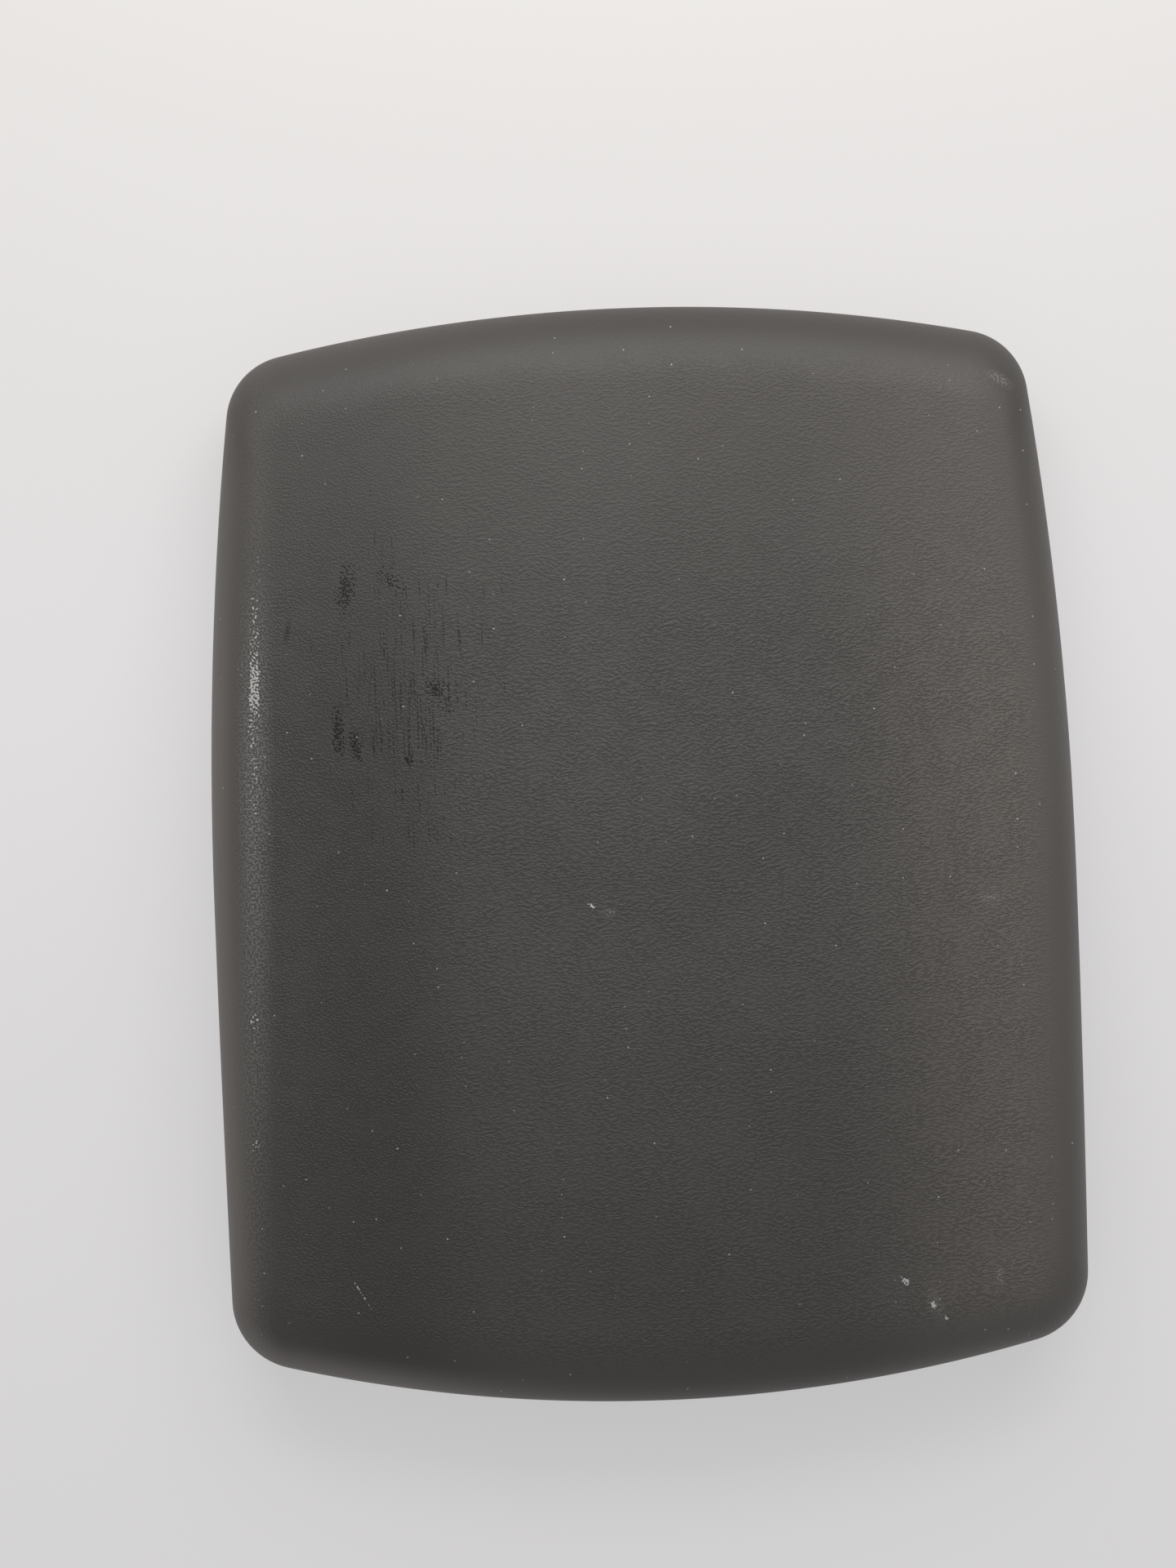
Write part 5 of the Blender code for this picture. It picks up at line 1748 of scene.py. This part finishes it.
@dataclass
class FoamPad:
    """The moulded foam between the skin and the carrier."""

    shape: LidShape = SHAPE
    clearance: float = 0.3 * MM
    core_inset: float = 2.3 * MM
    core_depth: float = 12.6 * MM
    ledge_inset: float = 2.6 * MM
    deck_inset: float = 6.6 * MM
    deck_roll_height: float = 10.4 * MM
    ledge_drop: float = 5 * MM
    fill: float = 0.9

    def build(self) -> None:
        """Build the foam and place it."""
        shape, gap = self.shape, self.clearance
        under = shape.dome(self.deck_inset - gap, self.core_depth - gap, self.deck_roll_height)
        outer = shape.dome(self.core_inset, self.core_inset, shape.roll_height - self.core_inset)
        drop = shape.roll_height + self.ledge_drop - gap
        spots = [(x, y) for x, y, _ in shape.level_ring(self.ledge_inset, 0)]
        ledge = [(x, y, shape.crown(x, y) - drop) for x, y in spots]
        foam = loft("foam_pad_fine", [*reversed(under), ledge, *outer])
        placed(finished(foam, FOAM), "lid", FOAM.name, ["foam_pad"])


@dataclass
class InnerLiner:
    """The moulded panel that closes the underside, with its shallow pocket."""

    shape: LidShape = SHAPE
    foot_z: float = 5 * MM
    thickness: float = 2.2 * MM
    inset: float = 8.1 * MM
    pocket_depth: float = 12 * MM
    side_margin: float = 38 * MM
    front_margin: float = 56 * MM
    rear_margin: float = 64 * MM
    corner: float = 14 * MM
    edge_radius: float = 3 * MM
    edge_steps: int = 7
    mouth_radius: float = 0.8 * MM
    mouth_steps: int = 3
    draft: float = 1.5 * MM
    window_half_width: float = 79 * MM
    window_front_y: float = -110 * MM
    mouth_half_width: float = 46.5 * MM
    mouth_rear_y: float = 123.7 * MM
    bore: float = 2.1 * MM
    stem_bore: float = 2.5 * MM
    clear: float = 4 * MM

    def pocket_ring(self, inward: float, z: float) -> Ring:
        """A ring around the pocket.

        Args:
            inward: How far it is moved in from the pocket's mouth.
            z: Its height.

        Returns:
            The ring.
        """
        radius = self.corner - inward
        margins = [m + inward for m in (self.side_margin, self.front_margin, self.rear_margin)]
        return [(x, y, z) for x, y in self.shape.outline(*margins, (radius, radius))]

    def sheet(self) -> bpy.types.Object:
        """Loft the liner's visible face, its pocket's mouth and floor rounded.

        Returns:
            The face, turned down towards the console box.
        """
        ceiling = self.foot_z + self.pocket_depth
        rings = [self.shape.level_ring(self.inset, self.foot_z)]
        for i in range(self.mouth_steps + 1):
            angle = i / self.mouth_steps * QUARTER
            inward = self.mouth_radius * (math.sin(angle) - 1)
            z = self.foot_z + self.mouth_radius * (1 - math.cos(angle))
            rings.append(self.pocket_ring(inward, z))
        for i in range(self.edge_steps + 1):
            angle = i / self.edge_steps * QUARTER
            inward = self.draft + self.edge_radius * (1 - math.cos(angle))
            z = ceiling - self.edge_radius * (1 - math.sin(angle))
            rings.append(self.pocket_ring(inward, z))
        liner = loft("inner_liner_fine", [*rings, [(0.0, 0.0, ceiling)]])
        with edited(liner.data) as work:
            if sum(face.normal.z * face.calc_area() for face in work.faces) > 0:
                bmesh.ops.reverse_faces(work, faces=work.faces)
        return liner

    def build(self, screws: "Screws", bumpers: "Bumpers") -> None:
        """Build the liner and place it.

        Args:
            screws: The screws that it has holes for.
            bumpers: The bumpers that it has holes for.
        """
        liner = walled(self.sheet(), self.thickness)
        top = self.foot_z + self.thickness + self.clear
        half = self.shape.length / 2
        window, mouth = self.window_half_width, self.mouth_half_width
        cutters = [
            block("window", (-window, -half, -MM), (window, self.window_front_y, top)),
            block("mouth", (-mouth, self.mouth_rear_y, -MM), (mouth, half, top)),
        ]
        for places, bore in ((screws.liner_places(), self.bore), (bumpers.places(), self.stem_bore)):
            cutters += [cylinder("hole", bore, (x, y, 0), top) for x, y in places]
        placed(finished(cut(liner, cutters), LINER), "lid", LINER.name, ["inner_liner"])


@dataclass
class Screws:
    """The pan head screws that hold the liner, the latch housing and the hinge bracket."""

    radius: float = 1.8 * MM
    root_radius: float = 1.35 * MM
    pitch: float = 1.3 * MM
    length: float = 12 * MM
    hinge_length: float = 6 * MM
    tip: float = 2 * MM
    tip_taper: float = 0.75
    point: float = 0.05 * MM
    head_radius: float = 4 * MM
    head_height: float = 2.4 * MM
    crown_share: float = 0.62
    crown_power: float = 1.4
    crown_steps: int = 8
    head_foot: tuple[Spot, Spot] = ((1.0, 0.15 * MM), (0.96, 0.0))
    recess_length: float = 4.2 * MM
    recess_width: float = 1.1 * MM
    recess_depth: float = 1.3 * MM
    edge: float = 0.12 * MM
    edge_angle: float = math.radians(50)
    clearance: float = 0.3 * MM
    liner_seat: float = 5 * MM
    hinge_seat: float = 16.5 * MM
    liner_spots: tuple[Spot, ...] = (
        (109 * MM, -135 * MM), (111 * MM, 0.0), (99 * MM, 133 * MM), (66 * MM, 145 * MM),
    )
    latch_x: float = 39.7 * MM
    latch_y: float = 140 * MM
    hinge_x: float = 46 * MM
    hinge_rows: Span = (-135.5 * MM, -119.5 * MM)
    around: int = 24
    thread_steps: int = 5
    seed: int = 11

    def liner_places(self) -> list[Spot]:
        """Where the liner's screws go, in the order of their nodes."""
        return [*self.liner_spots, *((-x, y) for x, y in self.liner_spots)]

    def latch_places(self) -> list[Spot]:
        """Where the latch housing's screws go."""
        return [(side * self.latch_x, self.latch_y) for side in (-1, 1)]

    def hinge_places(self) -> list[Spot]:
        """Where the hinge bracket's screws go."""
        return [(side * self.hinge_x, y) for side in (-1, 1) for y in self.hinge_rows]

    def head(self) -> list[Ring]:
        """The rings of a screw's head, from its crown at height 0 to its seat.

        Returns:
            The rings.
        """
        rings = []
        for i in range(self.crown_steps + 1):
            lift = i / self.crown_steps * QUARTER
            rise = 1 - max(0.0, math.cos(lift)) ** self.crown_power
            z = self.head_height * self.crown_share * rise
            rings.append(circle(self.head_radius * math.sin(lift), z, self.around))
        for share, up in self.head_foot:
            rings.append(circle(self.head_radius * share, self.head_height - up, self.around))
        return rings

    def thread(self, length: float) -> list[Ring]:
        """The rings of a screw's thread, from its head's seat to its tip.

        Args:
            length: Length of the thread.

        Returns:
            The rings.
        """
        rings: list[Ring] = []
        count = int(length / self.pitch * self.thread_steps)
        for i in range(count + 1):
            run = i / count * length
            taper = min(1.0, (length - run) / self.tip * self.tip_taper + 1 - self.tip_taper)
            ring = []
            for step in range(self.around):
                angle = step / self.around * TURN
                phase = (run / self.pitch - angle / TURN) % 1.0
                ridge = max(0.0, 1 - abs(phase - 0.5) * 4) * min(1.0, run / self.pitch)
                reach = blend(self.root_radius, self.radius, ridge) * taper
                ring.append((reach * math.cos(angle), reach * math.sin(angle), self.head_height + run))
            rings.append(ring)
        return [*rings, [(0.0, 0.0, self.head_height + length + self.point)]]

    def shape(self, length: float) -> bpy.types.Object:
        """Make one screw with its head's crown at height 0, a cross recess and a thread.

        Args:
            length: Length of its thread.

        Returns:
            The screw.
        """
        screw = loft("screw_shape", self.head() + self.thread(length))
        half, wide = self.recess_length / 2, self.recess_width / 2
        for dx, dy in ((half, wide), (wide, half)):
            cut(screw, [block("recess", (-dx, -dy, -MM), (dx, dy, self.recess_depth))])
        return rounded(screw, self.edge, angle=self.edge_angle)

    def build(self, recipe: Recipe) -> None:
        """Build all the screws and place them, each row as one piece.

        Args:
            recipe: The recipe that sets a shape on places.
        """
        long, short = self.shape(self.length), self.shape(self.hinge_length)
        rows = (
            ("liner_screw", long, self.liner_places(), self.liner_seat),
            ("latch_screw", long, self.latch_places(), self.liner_seat),
            ("hinge_screw", short, self.hinge_places(), self.hinge_seat),
        )
        for name, shape, places, seat in rows:
            foot = seat - self.clearance - self.head_height
            piece = add_points(f"{name}s", [(x, y, foot) for x, y in places])
            recipe.run(piece, BLACK_STEEL, {"Shape": shape, "Turn": TURN, "Seed": self.seed})
            nodes = [f"{name}_{i + 1}" for i in range(len(places))]
            placed(piece, "lid", BLACK_STEEL.name, nodes)
        for shape in (long, short):
            bpy.data.objects.remove(shape, do_unlink=True)


@dataclass
class Bumpers:
    """The rubber bumpers that the closed lid rests on, pulled through the liner."""

    x: float = 115 * MM
    y: float = 62 * MM
    seat_z: float = 5 * MM
    clearance: float = 0.3 * MM
    radius: float = 6 * MM
    height: float = 3 * MM
    dish: tuple[Spot, ...] = ((0.0, 0.80), (0.45, 0.80), (0.62, 0.96), (0.74, 1.0))
    edge_share: float = 0.20
    edge_height: float = 0.55
    edge_steps: int = 6
    top: tuple[Spot, ...] = ((1.0, 0.12), (0.97, 0.0))
    stem_radius: float = 2.2 * MM
    stem_length: float = 2.8 * MM
    bulb_radius: float = 3.2 * MM
    bulb_height: float = 2.4 * MM
    bulb: tuple[Spot, ...] = ((0.97, 0.0), (1.0, 1 / 12), (0.86, 0.5))
    tip_share: float = 0.6
    around: int = 40
    seed: int = 1

    def places(self) -> list[Spot]:
        """Where the bumpers sit."""
        return [(side * self.x, end * self.y) for side in (-1, 1) for end in (-1, 1)]

    def shape(self) -> bpy.types.Object:
        """Make one bumper: a dished foot whose top is at height 0, a stem and a bulb.

        Returns:
            The bumper.
        """
        foot = list(self.dish)
        for i in range(self.edge_steps + 1):
            lift = i / self.edge_steps * QUARTER
            across = 1 - self.edge_share * (1 - math.sin(lift))
            foot.append((across, 1 - self.edge_height * (1 - math.cos(lift))))
        section = [(self.radius * across, -self.height * down) for across, down in (*foot, *self.top)]
        stem, tip = self.stem_length, self.stem_length + self.bulb_height
        section += [(self.stem_radius, 0.0), (self.stem_radius, stem)]
        section += [(self.bulb_radius * across, stem + self.bulb_height * up) for across, up in self.bulb]
        section += [(self.stem_radius * self.tip_share, tip), (0.0, tip)]
        return loft("bumper_shape", [circle(reach, z, self.around) for reach, z in section])

    def build(self, recipe: Recipe) -> None:
        """Build the bumpers and place them, as one piece.

        Args:
            recipe: The recipe that sets a shape on places.
        """
        shape = self.shape()
        z = self.seat_z - self.clearance
        piece = add_points("bumpers", [(x, y, z) for x, y in self.places()])
        recipe.run(piece, RUBBER, {"Shape": shape, "Turn": 0.0, "Seed": self.seed})
        nodes = [f"bumper_{i + 1}" for i in range(len(self.places()))]
        placed(piece, "lid", RUBBER.name, nodes)
        bpy.data.objects.remove(shape, do_unlink=True)


@dataclass
class TorsionSpring:
    """A torsion spring on one of the lid's joints, whose coil winds as the joint turns."""

    node: str
    bodies: tuple[str, str]
    centre: Place
    wire: float
    radius: float
    turns: int
    pitch: float
    legs: tuple[Spot, Spot]
    way: int
    steps_a_turn: int = 28
    sides: int = 12

    def tangent(self, leg: Spot, side: int) -> float:
        """Angle at which a leg leaves the coil."""
        reach = Vector(leg) - Vector(self.centre[1:])
        return math.atan2(reach.y, reach.x) + side * math.acos(self.radius / reach.length)

    def build(self, recipe: Recipe) -> None:
        """Wind the spring and place it, attached to neither of its two bodies.

        Args:
            recipe: The recipe that winds it.
        """
        x, y, z = self.centre
        name = f"{self.node}_wound"
        spring = add_object(name, bpy.data.meshes.new(name))
        values = {
            "Wire radius": self.wire,
            "Coil radius": self.radius,
            "Turns": float(self.turns),
            "Pitch": self.pitch,
            "First angle": self.tangent(self.legs[0], self.way),
            "Last angle": self.tangent(self.legs[1], -self.way) + self.way * self.turns * TURN,
            "Centre": self.centre,
            "First leg": (x, *self.legs[0]),
            "Last leg": (x, *self.legs[1]),
            "Steps": self.turns * self.steps_a_turn,
            "Sides": self.sides,
        }
        recipe.run(spring, SPRING_STEEL, values)
        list(self.bodies)
        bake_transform(spring)
        placed(spring, "", SPRING_STEEL.name, [self.node])


HINGE_SPRING = TorsionSpring(
    node="hinge_spring",
    bodies=("hinge_base", "lid"),
    centre=(0.0, -144 * MM, 9.5 * MM),
    wire=0.6 * MM,
    radius=4.3 * MM,
    turns=6,
    pitch=2.2 * MM,
    legs=((-127 * MM, 2.9 * MM), (-127 * MM, 15.6 * MM)),
    way=-1,
)
LATCH_SPRING = TorsionSpring(
    node="latch_spring",
    bodies=("latch", "lid"),
    centre=(-17 * MM, 140 * MM, 13 * MM),
    wire=0.4 * MM,
    radius=2.9 * MM,
    turns=4,
    pitch=1.5 * MM,
    legs=((150.5 * MM, 12.7 * MM), (150.5 * MM, 16.8 * MM)),
    way=1,
)


@dataclass
class MetalAndPlastic:
    """Pressed, turned and moulded pieces whose CAD shape stays."""

    edge: float = 0.25 * MM
    softened: tuple[tuple[str, str, Finish], ...] = (
        ("hinge_base_bracket", "hinge_base", ZINC),
        ("hinge_lid_bracket", "lid", ZINC),
        ("latch_bezel", "lid", LATCH_PLASTIC),
        ("latch_lever", "latch", LATCH_PLASTIC),
    )
    kept: tuple[tuple[str, Finish], ...] = (
        ("armrest_core", CARRIER),
        ("hinge_pin", ZINC),
        ("latch_pin", ZINC),
        ("hinge_pin_clip", SPRING_STEEL),
        ("hinge_bush_left", NYLON),
        ("hinge_bush_right", NYLON),
    )

    def build(self) -> None:
        """Round the edges of the larger pieces, and give all of them their finish."""
        for node, body, finish in self.softened:
            piece = rounded(node_copy(node), self.edge)
            placed(finished(piece, finish), body, finish.name, [node])
        for node, finish in self.kept:
            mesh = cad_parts[node].data
            mesh.materials.clear()
            mesh.materials.append(finish.material())
            LOG.info("%s: CAD node with its finish", node)


# Studio


@dataclass
class Studio:
    """A plain pale floor under soft light from all round and one broad lamp."""

    floor: Colour = (0.790, 0.778, 0.785)
    far_floor: Colour = (0.745, 0.728, 0.720)
    far: Span = (0.02, 0.26)
    reach: float = 6.0
    drop: float = 0.4 * MM
    world_strength: float = 0.44
    backdrop: float = 0.8
    flat_share: float = 0.55
    lamp_place: Place = (0.02, 0.52, 0.44)
    lamp_aim: Place = (0.0, 0.15, 0.02)
    lamp_size: Spot = (0.9, 0.35)
    lamp_power: float = 4.0
    lamp_colour: Colour = (1.0, 0.985, 0.965)

    def floor_material(self) -> bpy.types.Material:
        """The floor shows as pale as it is written, keeps the shadow and is clear from below.

        Returns:
            The material.
        """
        made = bpy.data.materials.new("pale_floor")
        made.use_nodes = True
        made.node_tree.nodes.clear()
        graph = Graph(made.node_tree)
        place = graph.wire("ShaderNodeTexCoord", None, None, "Object")
        tone = graph.mix(graph.parts(place)[1].rise(*self.far), self.floor, self.far_floor)
        lit = graph.wire("ShaderNodeBsdfDiffuse", None, {"Color": tone})
        flat = graph.wire("ShaderNodeEmission", None, {"Color": tone, "Strength": 1.0})
        rays = graph.node("ShaderNodeLightPath").outputs
        seen = Wire(graph, rays["Is Camera Ray"])
        for kind in ("Is Glossy Ray", "Is Transmission Ray"):
            seen = seen.at_least(Wire(graph, rays[kind]))
        above = graph.wire("ShaderNodeMixShader", None, {0: seen * self.flat_share, 1: lit, 2: flat})
        below = graph.node("ShaderNodeNewGeometry").outputs["Backfacing"]
        clear = graph.wire("ShaderNodeBsdfTransparent")
        shader = graph.wire("ShaderNodeMixShader", None, {0: below, 1: above, 2: clear})
        graph.node("ShaderNodeOutputMaterial", None, {"Surface": shader})
        return made

    def add_floor(self) -> None:
        """Lay the floor."""
        corners = [(-1, -1), (1, -1), (1, 1), (-1, 1)]
        places = [(x * self.reach, y * self.reach, -self.drop) for x, y in corners]
        mesh = bpy.data.meshes.new("floor")
        mesh.from_pydata(places, [], [range(len(places))])
        mesh.materials.append(self.floor_material())
        add_object("floor", mesh)

    def add_lamp(self) -> None:
        """Hang the broad lamp beyond the lid's front end."""
        data = bpy.data.lights.new("window", "AREA")
        data.shape = "RECTANGLE"
        data.size, data.size_y = self.lamp_size
        data.energy = self.lamp_power
        data.color = self.lamp_colour
        lamp = bpy.data.objects.new("window", data)
        lamp.location = self.lamp_place
        lamp.rotation_mode = "QUATERNION"
        back = Vector(self.lamp_place) - Vector(self.lamp_aim)
        lamp.rotation_quaternion = back.to_track_quat("Z", "Y")
        lamp.visible_camera = False
        bpy.context.scene.collection.objects.link(lamp)

    def add_world(self) -> None:
        """Light from all round at a plain level."""
        world = bpy.data.worlds.new("soft_room")
        world.use_nodes = True
        world.node_tree.nodes.clear()
        graph = Graph(world.node_tree)
        seen = graph.wire("ShaderNodeLightPath", None, None, "Is Camera Ray")
        strength = seen * (self.backdrop - self.world_strength) + self.world_strength
        sockets = {"Color": (1.0, 1.0, 1.0, 1.0), "Strength": strength}
        shader = graph.wire("ShaderNodeBackground", None, sockets)
        graph.node("ShaderNodeOutputWorld", None, {"Surface": shader})
        bpy.context.scene.world = world

    def build(self) -> None:
        """Set the floor, the world, the lamp and the view settings."""
        self.add_floor()
        self.add_world()
        self.add_lamp()
        bpy.context.scene.view_settings.view_transform = "Standard"


def main() -> None:
    """Build the lid's looks, sub-assembly by sub-assembly."""
    logging.basicConfig(level=logging.INFO, format="%(name)s: %(message)s")
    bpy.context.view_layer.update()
    PHOTO.add_camera()
    Studio().build()
    scatter, winding = scatter_recipe(), spring_recipe()
    screws, bumpers = Screws(), Bumpers()
    CoverSkin().build(unevenness_recipe())
    FoamPad().build()
    InnerLiner().build(screws, bumpers)
    screws.build(scatter)
    bumpers.build(scatter)
    HINGE_SPRING.build(winding)
    LATCH_SPRING.build(winding)
    MetalAndPlastic().build()


if __name__ == "__main__":
    main()
